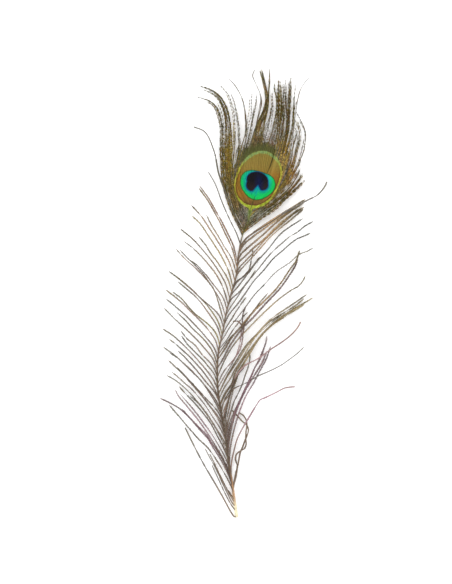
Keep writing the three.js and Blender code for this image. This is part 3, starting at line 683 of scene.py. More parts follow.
def store(mesh, label, values):
    """Keeps one number for each point of a mesh."""
    attribute = mesh.attributes.new(label, "FLOAT", "POINT")
    attribute.data.foreach_set("value", values.astype(np.float32))


def store_looks(mesh, tints, along, blade, shade):
    """Keeps each point's colour, how far along its barb it is, whether it is a blade's tip,
    and the number that sets its barb apart from the others."""
    tint = mesh.color_attributes.new("tint", "FLOAT_COLOR", "POINT")
    colours = np.column_stack([tints, np.ones(len(tints))])
    tint.data.foreach_set("color", colours.astype(np.float32).ravel())
    store(mesh, "along", along)
    store(mesh, "blade", blade)
    store(mesh, "shade", shade)


def store_eye_facts(mesh, points):
    """Keeps how each point lies to the eye's outlines and to the shaft."""
    for label, measure in EYE_FACTS.items():
        store(mesh, label, measure(points[:, 0], points[:, 1]))


def lay_out(mesh, points):
    """A UV map seen from above and a little aslant, so upright faces keep some width."""
    x, y, z = points.T
    flat = np.column_stack([x + 0.3 * z, y + 0.25 * z])
    low, high = flat.min(0), flat.max(0)
    flat = 0.01 + 0.98 * (flat - low) / (high - low)
    corners = np.empty(len(mesh.loops), np.int32)
    mesh.loops.foreach_get("vertex_index", corners)
    layer = mesh.uv_layers.new(name="OFBake")
    layer.data.foreach_set("uv", flat[corners].astype(np.float32).ravel())


def rod(line, across, above, half_width, half_height, sides):
    """A closed rod round a line: its points, ring by ring and then the middles of its two
    ends, and its outward triangles."""
    count = len(line)
    turn = 2 * np.pi * np.arange(sides) / sides
    ring = (np.cos(turn)[None, :, None] * (across * half_width[:, None])[:, None, :]
            + np.sin(turn)[None, :, None] * (above * half_height[:, None])[:, None, :])
    points = (line[:, None, :] + ring).reshape(-1, 3)
    points = np.vstack([points, line[0], line[-1]])
    i = np.repeat(np.arange(count - 1), sides)
    k = np.tile(np.arange(sides), count - 1)
    here, beside = i * sides + k, i * sides + (k + 1) % sides
    walls = np.vstack([
        np.column_stack([here, here + sides, beside + sides]),
        np.column_stack([here, beside + sides, beside]),
    ])
    k = np.arange(sides)
    after = (k + 1) % sides
    last = (count - 1) * sides
    root_cap = np.column_stack([np.full(sides, count * sides), k, after])
    tip_cap = np.column_stack([np.full(sides, count * sides + 1), last + after, last + k])
    return points, np.vstack([walls, root_cap, tip_cap])


def blades(root, along, above, heading, length, width):
    """Closed three-sided blades, one from each root: their points and outward triangles."""
    half = along * (width / 2)[:, None]
    a, b = root - half, root + half
    c = root + above * (width * 0.45)[:, None]
    tip = root + heading * length[:, None]
    turned = np.einsum("ij,ij->i", b - a, np.cross(c - a, tip - a)) < 0
    a[turned], b[turned] = b[turned].copy(), a[turned].copy()
    points = np.stack([a, b, c, tip], axis=1).reshape(-1, 3)
    start = 4 * np.arange(len(root))[:, None]
    faces = np.array([[0, 2, 1], [0, 1, 3], [1, 2, 3], [2, 0, 3]])
    return points, (start[:, :, None] + faces[None]).reshape(-1, 3)


# The column of a barb's tracks that says how open it is: five triples stand before it.
OPENNESS = 15
SHUT = 0.06


def add_barb(pile, line, kind, roll, openness, tints, settings, rng):
    """One barb: a rib that is a broad strip where the vane is closed, and its two rows of
    blades where it is open. tints gives the rib's and the blades' colours along the line."""
    rib_tint, blade_tint = tints
    along, across, above = frame_of(line)
    across, above = rolled(across, above, roll)
    rib, tip_share, *_ = BUILD[kind]
    reach = reach_along(line)
    taper = tip_share + (1 - tip_share) * np.clip(2 * (reach[-1] - reach) / reach[-1], 0, 1)
    width = settings.strip / MM * (1 - openness) + rib * taper * openness
    height = STRIP_HEIGHT * (1 - openness) + rib * RIB_FLATNESS * taper * openness
    shade = rng.uniform(0, 1)
    points, triangles = rod(line, across, above, width / 2, height / 2, RIB_SIDES)
    colours = np.vstack([np.repeat(rib_tint, RIB_SIDES, axis=0), rib_tint[0], rib_tint[-1]])
    share = np.linspace(0, 1, len(line))
    facts = np.column_stack([
        np.concatenate([np.repeat(share, RIB_SIDES), [0, 1]]),
        np.zeros(len(points)),
        np.full(len(points), shade),
    ])
    pile.add(points, triangles, colours, facts, True)

    folded = 1 - FOLD.get(kind, OTHER_FOLD) * (1 - np.abs(np.cos(roll))) * openness
    tracks = np.column_stack([line, along, across, above, blade_tint, openness, folded, share])
    add_blades(pile, kind, reach, tracks, shade, settings.blade_gap / MM, rng)


def add_blades(pile, kind, reach, tracks, shade, gap, rng):
    """The two rows of blades along a barb, from what tracks holds at each of its points."""
    stations = np.arange(gap, reach[-1], gap)
    if len(stations) < 3:
        return
    stations = stations + rng.uniform(-0.3, 0.3, len(stations)) * gap
    rows = np.column_stack([np.interp(stations, reach, track) for track in tracks.T])
    keep = rows[:, OPENNESS] > SHUT
    if not keep.any():
        return
    rows = rows[keep]
    stations = stations[keep]
    root, run, side, top, colour = (rows[:, k:k + 3] for k in range(0, OPENNESS, 3))
    openness, folded, place = rows[:, OPENNESS:].T
    to_tip = reach[-1] - stations
    end = (np.clip(TIP_BLADES[0] + to_tip / TIP_BLADES[1], 0, 1)
           * np.clip(ROOT_BLADES[0] + stations / ROOT_BLADES[1], 0, 1))
    _, _, blade, blade_width = BUILD[kind]
    length = blade * (NEW_BLADES + (1 - NEW_BLADES) * openness) * end * folded
    count = len(root)
    width = np.full(count, blade_width)
    for hand in (-1, 1):
        lean = np.radians(rng.normal(*BLADE_LEAN, count))
        lift = rng.normal(*BLADE_LIFT, count)
        heading = (run * np.cos(lean)[:, None] + side * (hand * np.sin(lean))[:, None]
                   + top * lift[:, None])
        heading /= np.linalg.norm(heading, axis=1)[:, None]
        longer = rng.uniform(*BLADE_LENGTHS, count)
        points, triangles = blades(root, run, top, heading, length * longer, width)
        light = rng.uniform(*BLADE_LIGHTS, count)[:, None]
        colours = np.repeat(np.clip(colour * light, 0, 1), 4, axis=0)
        facts = np.column_stack([
            np.repeat(place, 4), np.tile([0, 0, 0, 1.0], count), np.full(4 * count, shade)])
        pile.add(points, triangles, colours, facts, False)


# ---------------------------------------------------------------- families of barbs


def between(lines, place):
    """The point lists of neighbouring lines, blended at a place counted in lines."""
    place = np.clip(place, 0, len(lines) - 1)
    low = np.minimum(np.floor(place).astype(int), len(lines) - 2)
    share = (place - low)[:, None]
    index = np.arange(lines.shape[1])
    return lines[low, index] * (1 - share) + lines[low + 1, index] * share


def mixed(stops, place):
    """A colour from a list of (place, swatch) stops."""
    places = [s[0] for s in stops]
    colours = np.array([srgb(*s[1]) for s in stops])
    return np.column_stack([np.interp(place, places, c) for c in colours.T])


def towards(colour, swatch, share):
    """A colour drawn by a share towards a swatch."""
    return colour * (1 - share) + np.array(srgb(*swatch)) * share


def dusk(count):
    """The rib and blade colours of a dark single barb."""
    return [np.tile(srgb(*swatch), (count, 1)) for swatch in DUSK]


def flips(rng, share, times):
    """An angle that lies nearly flat, but turns half over at a few places."""
    angle = np.full(len(share), rng.normal(0, 0.3))
    for _ in range(times):
        begin = rng.uniform(0.08, 0.85)
        angle = angle + rng.choice([-1, 1]) * math.pi * ease(share, begin, begin + 0.1)
    return angle + wander(rng, len(share), 4, 0.25)


# Colours of the rib and the blades of a loose barb, by where on the shaft it grows (Y).
SIDE_RIBS = [(-140, (148, 130, 122)), (-70, (144, 118, 102)), (-10, (142, 108, 84)),
             (30, (172, 118, 74))]
SIDE_BLADES = [(-140, (92, 84, 78)), (-70, (88, 78, 66)), (-10, (84, 70, 52)),
               (30, (104, 78, 48))]
OLIVE = ((154, 138, 66), (84, 78, 40))
SLATE = ((120, 104, 102), (74, 68, 60))
# Rib and blades of the dark single barbs that stand off from the others.
DUSK = ((96, 90, 76), (72, 64, 46))
# Rib and blades of the loose barbs that have a colour of their own.
OWN_SWATCHES = {
    "mauve": ((160, 126, 134), (112, 86, 92)),
    "pink": ((162, 132, 130), (110, 88, 86)),
    "umber": ((126, 106, 88), (74, 66, 52)),
    "slate": ((116, 110, 102), (74, 70, 60)),
    "olive": ((170, 150, 112), (104, 92, 64)),
    "straw": ((186, 166, 126), (136, 120, 86)),
    "copper": ((208, 168, 126), (126, 110, 76)),
}


def side_tints(root, share, rng, dark=0.0):
    """Loose barbs are greyish brown low on the shaft and copper near the eye, and some are
    olive or slate."""
    olive, slate = rng.uniform(0, 1, 2) ** 4
    slate = max(slate * (0.35 if root > 5 else 0.8), dark)
    made = []
    tip = ease(share, 0.7, 1.0)[:, None] * 0.5
    for stops, olive_swatch, slate_swatch in zip((SIDE_RIBS, SIDE_BLADES), OLIVE, SLATE):
        colour = towards(towards(mixed(stops, root), olive_swatch, tip), olive_swatch, olive)
        made.append(towards(colour, slate_swatch, slate))
    drift = (1 + wander(rng, len(share), 6, 0.12)[:, None]) * rng.uniform(0.8, 1.15)
    drift = drift * (1 - 0.45 * dark)
    return [np.clip(colour * drift, 0, 1) for colour in made]


def own_tints(name, share, rng, tip):
    """The colours of a barb that is all one swatch, but for a brown root and, by tip, how
    olive it turns at its end."""
    root = ease(share, 0.2, 0.55)[:, None] * 0.8 + 0.2
    tip = ease(share, 0.6, 1.0)[:, None] * tip
    drift = (1 + wander(rng, len(share), 8, 0.14)[:, None]) * rng.uniform(0.88, 1.1)
    made = []
    for swatch, brown, olive in zip(OWN_SWATCHES[name], OWN_SWATCHES["umber"], OLIVE):
        colour = towards(towards(np.array(srgb(*brown)), swatch, root), olive, tip)
        made.append(np.clip(colour * drift, 0, 1))
    return made


def side_places(field, roots, gap, rng):
    """Where the loose barbs of a side stand, counted in lines, and whether exactly on one."""
    last = len(field) - 1
    places = []
    for k, line in enumerate(field):
        places.append((float(k), True))
        for _ in range(COMPANIONS[line[0]]):
            places.append((np.clip(k + rng.uniform(-0.3, 0.3), 0, last), False))
        if k < last:
            extra = round((roots[k + 1] - roots[k]) / gap) - 1
            for n in range(extra):
                places.append((k + (n + 1 + rng.uniform(-0.25, 0.25)) / (extra + 1), False))
    return places


def side_line(curves, root, place, exact, close, rng):
    """A loose barb's own line: between its neighbours', drawn in to the nearest, set a
    little aside, swung and swayed."""
    count = curves.shape[1]
    share = np.linspace(0, 1, count)
    drawn = rng.uniform(*(CLOSE_DRAW if close else OPEN_DRAW)) * ease(share, 0.05, 0.6)
    line = between(curves, place + (round(place) - place) * drawn)
    line = line + (shaft_at(root) - line[0]) * (1 - share)[:, None] ** 1.5
    stop = 1.0 if exact else 1 - SIDE_LACKS * rng.uniform() ** (1.6 if close else 0.8)
    line = evenly(line[: int(count * stop)], count)
    _, across, _ = frame_of(line)
    beside = rng.choice([-1, 1]) * rng.uniform(*SIDE_ASIDE) * (not exact)
    swings, sways = ON_LINE if exact else OFF_LINE
    swing = rng.normal(0, swings) * share**1.6
    sway = wander(rng, count, 5, sways) * share
    line = line + across * (beside * ease(share, 0.1, 0.5) + swing + sway)[:, None]
    line[:, 2] += np.sin(np.pi * share) * rng.normal(0, SIDE_RISES)
    line[:, 2] = np.maximum(line[:, 2], LOWEST_LINE)
    return evenly(line, count)


def side_barbs(pile, lines, settings, seed):
    """The loose barbs down one side: one on every line, and others between that lean in to
    the nearest one, so that their tips lie together."""
    rng = np.random.default_rng(seed)
    count = 56
    share = np.linspace(0, 1, count)
    field = [line for line in lines if line[0] in COMPANIONS]
    roots = np.array([line[1] for line in field], float)
    curves = np.stack([barb_line(*line[:3], count) for line in field])
    for place, exact in side_places(field, roots, settings.spacing / MM, rng):
        root = float(np.interp(place, np.arange(len(field)), roots))
        kind, _, _, *own = field[round(place)]
        close = rng.uniform() < CLOSE_SHARE or kind == PLUME
        line = side_line(curves, root, place, exact, close, rng)
        build = BROAD if exact and kind == BROAD else LOOSE
        roll = flips(rng, share, rng.integers(0, 1 if build == BROAD else 3))
        if own:
            olive = 0.2 if own[0] in ("mauve", "pink") else 0.45
            tints = own_tints(*own, share, rng, olive)
        else:
            tints = side_tints(root, share, rng)
        add_barb(pile, line, build, roll, np.ones(count), tints, settings, rng)


def stray_barbs(pile, lines, settings, seed):
    """The thin barbs that cross the others, each exactly on its own line."""
    rng = np.random.default_rng(seed)
    count = 70
    share = np.linspace(0, 1, count)
    for kind, root, path, *own in lines:
        line = barb_line(kind, root, path, count)
        roll = flips(rng, share, 3)
        tints = own_tints(*own, share, rng, 0.15) if own else dusk(count)
        add_barb(pile, line, kind, roll, np.ones(count), tints, settings, rng)
    hosts = {line[1]: line for line in RIGHT_LINES}
    for root, place, way in CURLS:
        host = barb_line(*hosts[root][:3], count)[int(place * count)]
        line = smooth_line(np.vstack([host, host + np.array(way)]), count)
        tints = side_tints(root, share, rng, 0.5)
        add_barb(pile, line, STRAY, flips(rng, share, 2), np.ones(count), tints, settings, rng)


FAN_SWATCHES = {
    "dark": ((100, 94, 46), (58, 54, 22)),
    "olive": ((142, 134, 68), (94, 90, 38)),
    "gold": ((190, 162, 54), (142, 118, 34)),
    "brown": ((128, 96, 50), (80, 60, 28)),
    "rust": ((186, 116, 58), (126, 80, 38)),
    "lilac": ((164, 144, 142), (126, 110, 102)),
    "sage": ((134, 142, 104), (100, 104, 68)),
    "tip": ((178, 172, 122), (126, 122, 76)),
}


def fan_tints(hand, low, share, rng):
    """Barbs that pass the eye: olive with gold and brown, and on the right rustier and more
    golden the lower they grow. low runs from 0 at the top of the fan to 1 at its foot."""
    weights = {"dark": 1.0, "olive": 0.9, "gold": 0.5, "brown": 0.7, "rust": 0.08, "lilac": 0.22,
               "sage": 0.12, "tip": 0.0}
    if hand > 0:
        weights["rust"] = 0.12 + 0.45 * low
        weights["gold"] = 0.5 + 0.5 * low
        weights["lilac"] = 0.16
    dice = np.array([weights[n] * rng.uniform(0, 1) ** 2 for n in FAN_SWATCHES])
    dice /= dice.sum()
    tip = ease(share, 0.84, 1.0)[:, None] * (0.55 if hand < 0 else 0.4)
    made = []
    for layer in (0, 1):
        colour = sum(np.array(srgb(*FAN_SWATCHES[n][layer])) * d
                     for n, d in zip(FAN_SWATCHES, dice))
        made.append(towards(colour, FAN_SWATCHES["tip"][layer], tip))
    drift = (1 + wander(rng, len(share), 9, 0.16)[:, None]) * rng.uniform(0.82, 1.12)
    return [np.clip(colour * drift, 0, 1) for colour in made]


def pooled(tint, line):
    """The tint, drawn towards each pool of colour that the barb passes through."""
    for (x, y), (wide, tall), swatch, strength in POOLS:
        near = np.exp(-((line[:, 0] - x) / wide) ** 2 - ((line[:, 1] - y) / tall) ** 2)
        tint = towards(tint, swatch, (strength * near)[:, None])
    return tint


def over_vane(line):
    """The points of a line that lie over the eye's vane."""
    return np.nonzero(rim_distance(line[:, 0], line[:, 1]) <= VANE_EDGE)[0]


def fan_line(curves, root, place, kind, leave, rng):
    """A barb that passes the eye: between its neighbours' lines over the vane, then drawn in
    to the nearest one, its lock's, from where it leaves the rim."""
    share = np.linspace(0, 1, curves.shape[1])
    strength = rng.uniform(*GATHER[kind])
    strength = strength + (1 - strength) * TIP_GATHERS * ease(share, 0.7, 1.0)
    begin, end = PLUME_GATHERS if kind == PLUME else OTHER_GATHERS
    gather = ease(share, leave + begin, leave + end) * strength
    line = between(curves, place + (round(place) - place) * gather)
    start = shaft_at(root)
    start[2] = max(start[2], LOWEST_ROOT)
    return line + (start - line[0]) * (1 - share)[:, None] ** 3


def fan_stop(line, kind, hand, leave, runs_on, rng):
    """The part of its line that a barb grows: nearly all, or a short way past the rim."""
    if runs_on:
        return 1 - (PLUME_LACKS if kind == PLUME else OTHER_LACKS) * rng.uniform() ** 1.3
    ends = PLUME_ENDS if kind == PLUME and hand < 0 else OTHER_ENDS
    return leave + rng.triangular(*ends) / reach_along(line)[-1]


def come_loose(line, kind, stray, layer, rng):
    """The line set aside, swayed, hooked over at its tip and lifted as it comes loose."""
    count = len(line)
    _, across, _ = frame_of(line)
    hook = rng.normal(0, HOOK[kind]) * ease(np.linspace(0, 1, count), 0.86, 1.0) ** 2
    sideways = (rng.normal(0, ASIDE) + wander(rng, count, *SWAYS)) * stray + hook
    line = line + across * sideways[:, None]
    line[:, 2] += layer * LAYER_HEIGHT + np.abs(rng.normal(0, RISES)) * stray
    return evenly(line, count)


def fan_roll(line, kind, rng):
    """How far a loose barb has turned about itself at each of its points."""
    half_turn = HALF_TURN[kind] * rng.uniform(0.7, 1.5)
    turned = math.pi * reach_along(line)[-1] / half_turn * np.linspace(0, 1, len(line))
    return rng.uniform(0, math.pi) + rng.choice([-1, 1]) * turned


def fan_barbs(pile, lines, hand, roots_from, roots_to, closeness, settings, seed):
    """The barbs on one side that pass the eye, from one root to another. They lie close over
    it, then gather into locks, and some end before their lock's tip."""
    rng = np.random.default_rng(seed)
    count = 72
    share = np.linspace(0, 1, count)
    roots = np.array([line[1] for line in lines], float)
    curves = np.stack([barb_line(*line[:3], count) for line in lines])
    root = roots_from
    row = 0
    while root < roots_to:
        place = float(np.interp(root, roots, np.arange(len(lines))))
        kind, _, _, full = lines[round(place)]
        inside = over_vane(between(curves, np.full(count, place)))
        crosses = len(inside) > 0
        leave = share[inside[-1]] if crosses else BARE_RIM
        line = fan_line(curves, root, place, kind, leave, rng)
        runs_on = rng.uniform() < full
        stop = fan_stop(line, kind, hand, leave, runs_on, rng)
        line = evenly(line[: max(8, int(count * min(stop, 1)))], count)
        past = rim_distance(line[:, 0], line[:, 1])
        stray = ease(np.maximum.accumulate(past), *COMES_LOOSE)
        line = come_loose(line, kind, stray, row % LAYERS, rng)
        opening = ease(past, *OPENS[hand]) if crosses else 0.35 + 0.65 * ease(share, 0.2, 0.5)
        loosely = stray * (1.0 if runs_on else 0.5)
        roll = TILT * hand * (1 - stray) + fan_roll(line, kind, rng) * loosely
        facing = np.cos(roll) ** 2
        if kind == DOTTED or rng.uniform() < 0.5:
            facing = 1 - facing
        light = VANE_LIGHT * (1 - loosely) + (EDGE_LIGHT + FACE_LIGHT * facing) * loosely
        tints = [pooled(tint, line) * light[:, None]
                 for tint in fan_tints(hand, 1 - place / len(lines), share, rng)]
        if kind == WISP:
            dusky = (ease(past, *DUSKS) * crosses)[:, None]
            tints = [towards(tint, swatch, dusky) for tint, swatch in zip(tints, DUSK)]
        add_barb(pile, line, kind, roll, opening, tints, settings, rng)
        root += settings.close_spacing / MM * closeness * rng.uniform(0.8, 1.2)
        row += 1


def marked_barbs(pile, lines, settings, seed):
    """One barb on each of the lines that pass the eye, so that every lock has its longest."""
    rng = np.random.default_rng(seed)
    count = 90
    share = np.linspace(0, 1, count)
    for kind, root, path, _ in lines:
        line = barb_line(kind, root, path, count)
        past = rim_distance(line[:, 0], line[:, 1])
        opening = ease(np.maximum.accumulate(past), *OPENS[1])
        roll = math.pi * reach_along(line)[-1] / HALF_TURN[kind] * share * opening
        line[:, 2] += MARKED_LIFT
        dim = SPIKE_DIM if kind == SPIKE else MARKED_DIM
        tints = [tint * dim for tint in fan_tints(-1, 0.0, share, rng)]
        if kind in (WISP, DOTTED):
            tints = dusk(count)
        add_barb(pile, line, kind, roll, opening, tints, settings, rng)


# ---------------------------------------------------------------- materials

# Heights up the eye, in mm, over which its foot ends, its cap begins and its top begins.
EYE_FOOT = (58, 66)
EYE_CAP = (76, 85)
EYE_TOP = (82, 90)
# The seam below the heart's notch: places where these two parts of x and y, and the last
# number, come to nothing.
SEAM_LINE = (0.969, -0.249, 8.36)
# Where the shaft takes each of its colours: from and to, in mm, quill first.
SHAFT_STEPS = [("tan", -145, -132), ("brown", -132, -112), ("grey", -70, -20), ("green", 30, 50)]
# Swatches of the finer marks.
MARKS = {
    "rusty patch": (142, 92, 48),
    "mossy patch": (70, 78, 36),
    "halo": (82, 87, 42),
    "fringe": (128, 152, 62),
    "band streak": (128, 136, 60),
    "band seam": (104, 62, 28),
    "rim fleck": (146, 144, 54),
    "disc edge": (46, 92, 48),
    "disc seam": (16, 168, 190),
    "lobes": (50, 38, 38),
    "thread": (76, 84, 34),
    "shaft tip": (84, 78, 38),
    "web": (84, 78, 46),
}


def mark(name):
    return srgb(*MARKS[name])


class Wiring:
    """Short ways to add and join the nodes of one material or node group."""

    def __init__(self, tree):
        self.tree = tree
        tree.nodes.clear()

    def node(self, kind, inputs=None, **settings):
        made = self.tree.nodes.new(kind)
        for key, value in settings.items():
            setattr(made, key, value)
        for socket, value in (inputs or {}).items():
            self.feed(value, made.inputs[socket])
        return made

    def feed(self, value, socket):
        """Joins a socket to another, or sets its own value."""
        if isinstance(value, bpy.types.NodeSocket):
            self.tree.links.new(value, socket)
        else:
            socket.default_value = value

    def math(self, operation, first, second=0.0):
        return self.node("ShaderNodeMath", {0: first, 1: second}, operation=operation).outputs[0]

    def plus(self, first, second):
        return self.math("ADD", first, second)

    def less(self, first, second):
        return self.math("SUBTRACT", first, second)

    def times(self, first, second):
        return self.math("MULTIPLY", first, second)

    def step(self, value, low, high, start=0.0, end=1.0):
        """Runs smoothly from start to end as value goes from low to high."""
        made = self.node("ShaderNodeMapRange", {
            "Value": value, "From Min": low, "From Max": high, "To Min": start, "To Max": end,
        }, interpolation_type="SMOOTHSTEP")
        return made.outputs["Result"]

    def fade(self, value, low, high, start=1.0):
        """Runs smoothly from start to nothing as value goes from low to high."""
        return self.step(value, low, high, start, 0.0)

    def window(self, value, rise, fall):
        """Runs up to 1 over the first range of value and back to nothing over the second."""
        return self.times(self.step(value, *rise), self.fade(value, *fall))

    def mix(self, share, first, second, blend="MIX"):
        made = self.node("ShaderNodeMix", data_type="RGBA", blend_type=blend)
        self.feed(share, made.inputs["Factor"])
        self.feed(rgba(first), made.inputs["A"])
        self.feed(rgba(second), made.inputs["B"])
        return made.outputs["Result"]

    def dye(self, colour, by):
        """A colour multiplied by another."""
        return self.mix(1.0, colour, by, "MULTIPLY")

    def dim(self, colour, by):
        """A colour multiplied by a number."""
        grey = self.node("ShaderNodeCombineColor", {"Red": by, "Green": by, "Blue": by})
        return self.dye(colour, grey.outputs["Color"])

    def fact(self, label):
        return self.node("ShaderNodeAttribute", attribute_name=label).outputs["Fac"]

    def noise(self, vector, scale, detail=3.0, roughness=0.6):
        made = self.node("ShaderNodeTexNoise", {
            "Vector": vector, "Scale": scale, "Detail": detail, "Roughness": roughness})
        return made.outputs["Fac"]

    def stretched(self, vector, scale):
        made = self.node("ShaderNodeMapping", {"Vector": vector, "Scale": scale})
        return made.outputs["Vector"]


def rgba(value):
    """A colour with its alpha, where a bare one is given."""
    if isinstance(value, bpy.types.NodeSocket) or len(value) == 4:
        return value
    return (*value, 1.0)


def horn_grain_group():
    """Fine fibres and mottling for horny surfaces: changes a colour, roughness and height."""
    group = bpy.data.node_groups.new("Horn Grain", "ShaderNodeTree")
    for label, way, kind in (
            ("Colour", "INPUT", "Color"), ("Mottle", "INPUT", "Float"),
            ("Fineness", "INPUT", "Float"), ("Colour", "OUTPUT", "Color"),
            ("Roughness", "OUTPUT", "Float"), ("Height", "OUTPUT", "Float")):
        group.interface.new_socket(label, in_out=way, socket_type="NodeSocket" + kind)
    w = Wiring(group)
    given = w.node("NodeGroupInput").outputs
    place = w.node("ShaderNodeTexCoord").outputs["Object"]
    patches = w.noise(place, given["Fineness"])
    grain = w.noise(place, w.times(given["Fineness"], 5.0), 2.0)
    mottling = w.plus(w.times(patches, 0.6), w.times(grain, 0.4))
    gain = w.step(mottling, 0.32, 0.68, w.less(1.0, given["Mottle"]),
                  w.plus(1.0, given["Mottle"]))
    colour = w.dim(given["Colour"], gain)
    w.node("NodeGroupOutput", {
        "Colour": colour,
        "Roughness": w.step(grain, 0.3, 0.7, 0.42, 0.66),
        "Height": grain,
    })
    return group


def grained(w, group, colour, mottle, fineness):
    """Places the grain group over a colour."""
    return w.node("ShaderNodeGroup", {
        "Colour": colour, "Mottle": mottle, "Fineness": fineness}, node_tree=group).outputs


def new_material(name, wiring=Wiring):
    material = bpy.data.materials.new(name)
    material.use_nodes = True
    return material, wiring(material.node_tree)


def finish_shader(w, colour, roughness, height, bump, metallic=0.0, **sockets):
    bumped = w.node("ShaderNodeBump", {"Height": height, "Strength": bump, "Distance": 0.0001})
    shader = w.node("ShaderNodeBsdfPrincipled", {
        "Base Color": colour, "Roughness": roughness, "Metallic": metallic,
        "Normal": bumped.outputs["Normal"], **sockets})
    w.node("ShaderNodeOutputMaterial", {"Surface": shader.outputs["BSDF"]})


def barb_colour(w):
    """A barb's own tint, a little lighter towards the ends of its blades."""
    tint = w.node("ShaderNodeVertexColor", layer_name="tint").outputs["Color"]
    return w.mix(w.fact("blade"), tint, w.dye(tint, (1.12, 1.1, 1.05)))


def loose_barb_material(group):
    material, w = new_material("Loose Barb")
    grain = grained(w, group, barb_colour(w), 0.28, 900.0)
    finish_shader(w, grain["Colour"], grain["Roughness"], grain["Height"], 0.3, 0.15,
                  **{"Specular IOR Level": 0.35, "Sheen Weight": 0.15})
    return material


class EyeWiring(Wiring):
    """The eye's wiring, with what its parts share: each point's place in mm, its distances
    from the outlines, how far it is in the eye's foot, cap or top, and a fine speckle."""

    def __init__(self, tree):
        super().__init__(tree)
        self.place = self.node("ShaderNodeTexCoord").outputs["Object"]
        split = self.node("ShaderNodeSeparateXYZ", {"Vector": self.place}).outputs
        self.x = self.times(split["X"], 1 / MM)
        self.y = self.times(split["Y"], 1 / MM)
        ripple = self.times(self.less(self.noise(self.place, 700.0), 0.5), 1.3)
        self.rim = self.plus(self.fact("rim"), ripple)
        self.disc = self.plus(self.fact("disc"), self.times(ripple, 0.45))
        self.heart = self.plus(self.fact("heart"), self.times(ripple, 0.3))
        self.stem = self.fact("stem")
        self.foot = self.fade(self.y, *EYE_FOOT)
        self.cap = self.step(self.y, *EYE_CAP)
        self.top = self.step(self.y, *EYE_TOP)
        self.speckle = self.step(self.noise(self.place, 1000.0, 1.0), 0.36, 0.64, 0.66, 1.4)


def own_barbs(w):
    """The barbs' own colours, flecked along each one, with rusty and mossy patches."""
    thread = w.node("ShaderNodeCombineXYZ", {
        "X": w.times(w.fact("shade"), 90.0), "Y": w.times(w.fact("along"), 52.0)})
    fleck = w.step(w.noise(thread.outputs["Vector"], 1.0, 1.0), 0.36, 0.64, 0.54, 1.56)
    own = w.dim(w.dim(barb_colour(w), fleck), w.speckle)
    patches = w.noise(w.stretched(w.place, (1.0, 0.4, 1.0)), 620.0, 1.0)
    own = w.mix(w.step(patches, 0.52, 0.64, 0.0, 0.26), own, mark("rusty patch"))
    return w.mix(w.fade(patches, 0.36, 0.46, 0.35), own, mark("mossy patch"))


def past_the_rim(w):
    """The barbs' own colours, under a dark halo over the eye's top and a green fringe where
    the shaft comes in."""
    over = w.times(w.fade(w.x, 18.5, 23.5), w.step(w.x, -3.5, 1.0, 0.3, 1.0))
    halo = w.times(w.fade(w.rim, 2.0, 7.5, 0.9), w.times(over, w.top))
    colour = w.mix(halo, own_barbs(w), mark("halo"))
    low = w.window(w.y, (43, 57), (58.5, 62))
    fringe = w.times(w.fade(w.stem, 0.3, w.step(low, 0.0, 1.0, 0.7, 2.2)), low)
    return w.mix(w.times(fringe, 0.85), colour, w.dim(mark("fringe"), w.speckle))


def band_and_rim(w, eye):
    """The band round the disc, rust at its sides, bronze above and umber below, then a dark
    seam, then the rim: yellow, lime at its foot and sage over its top."""
    band = w.mix(w.foot, w.mix(w.cap, eye.rust, eye.bronze), eye.umber)
    band = w.mix(w.times(w.foot, 0.35), band, w.dim(band, w.speckle))
    streak = w.noise(w.stretched(w.place, (1.0, 0.12, 1.0)), 1500.0)
    band = w.mix(w.step(streak, 0.4, 0.75, 0.0, 0.4), band, mark("band streak"))
    inner = w.plus(w.plus(w.rim, 0.85), w.plus(w.times(w.foot, 0.5), w.times(w.top, 0.7)))
    seam = w.times(w.step(inner, -1.0, -0.3), w.less(1.0, w.cap))
    band = w.mix(w.times(seam, 0.75), band, mark("band seam"))
    ring = w.mix(w.top, w.mix(w.foot, eye.yellow, eye.lime), eye.sage)
    flecks = w.step(w.noise(w.place, 480.0), 0.42, 0.62, 0.0, 0.55)
    ring = w.mix(flecks, ring, mark("rim fleck"))
    ring = w.mix(0.4, ring, w.dim(ring, w.speckle))
    return w.mix(w.step(inner, -0.1, 0.35), band, ring)


def bright_disc(w, eye):
    """The disc: green, then jade, cyan round the heart, and a seam below its notch."""
    green = w.mix(w.step(w.disc, -3.5, -1.0), eye.jade, eye.green)
    green = w.mix(w.step(w.heart, 0.9, 3.2), eye.cyan, green)
    aside = w.plus(w.times(w.x, SEAM_LINE[0]), w.times(w.y, SEAM_LINE[1]))
    aside = w.math("ABSOLUTE", w.plus(aside, SEAM_LINE[2]))
    seam = w.times(w.fade(aside, 0.3, 1.1), w.fade(w.y, 72, 73.5))
    seam = w.times(seam, w.step(w.y, 62, 71, 0.1, 0.85))
    return w.mix(seam, green, mark("disc seam"))


def dark_heart(w, eye):
    """The heart: nearly black, with a navy sheen up its middle and brown in its lobes."""
    sheen = w.times(w.window(w.x, (6, 10.5), (10.5, 14.5)), w.step(w.y, 73.5, 79, 0.8, 0.25))
    lobes = w.mix(w.fade(w.y, 69, 75.5, 0.7), eye.heart, mark("lobes"))
    return w.mix(sheen, lobes, eye.navy)


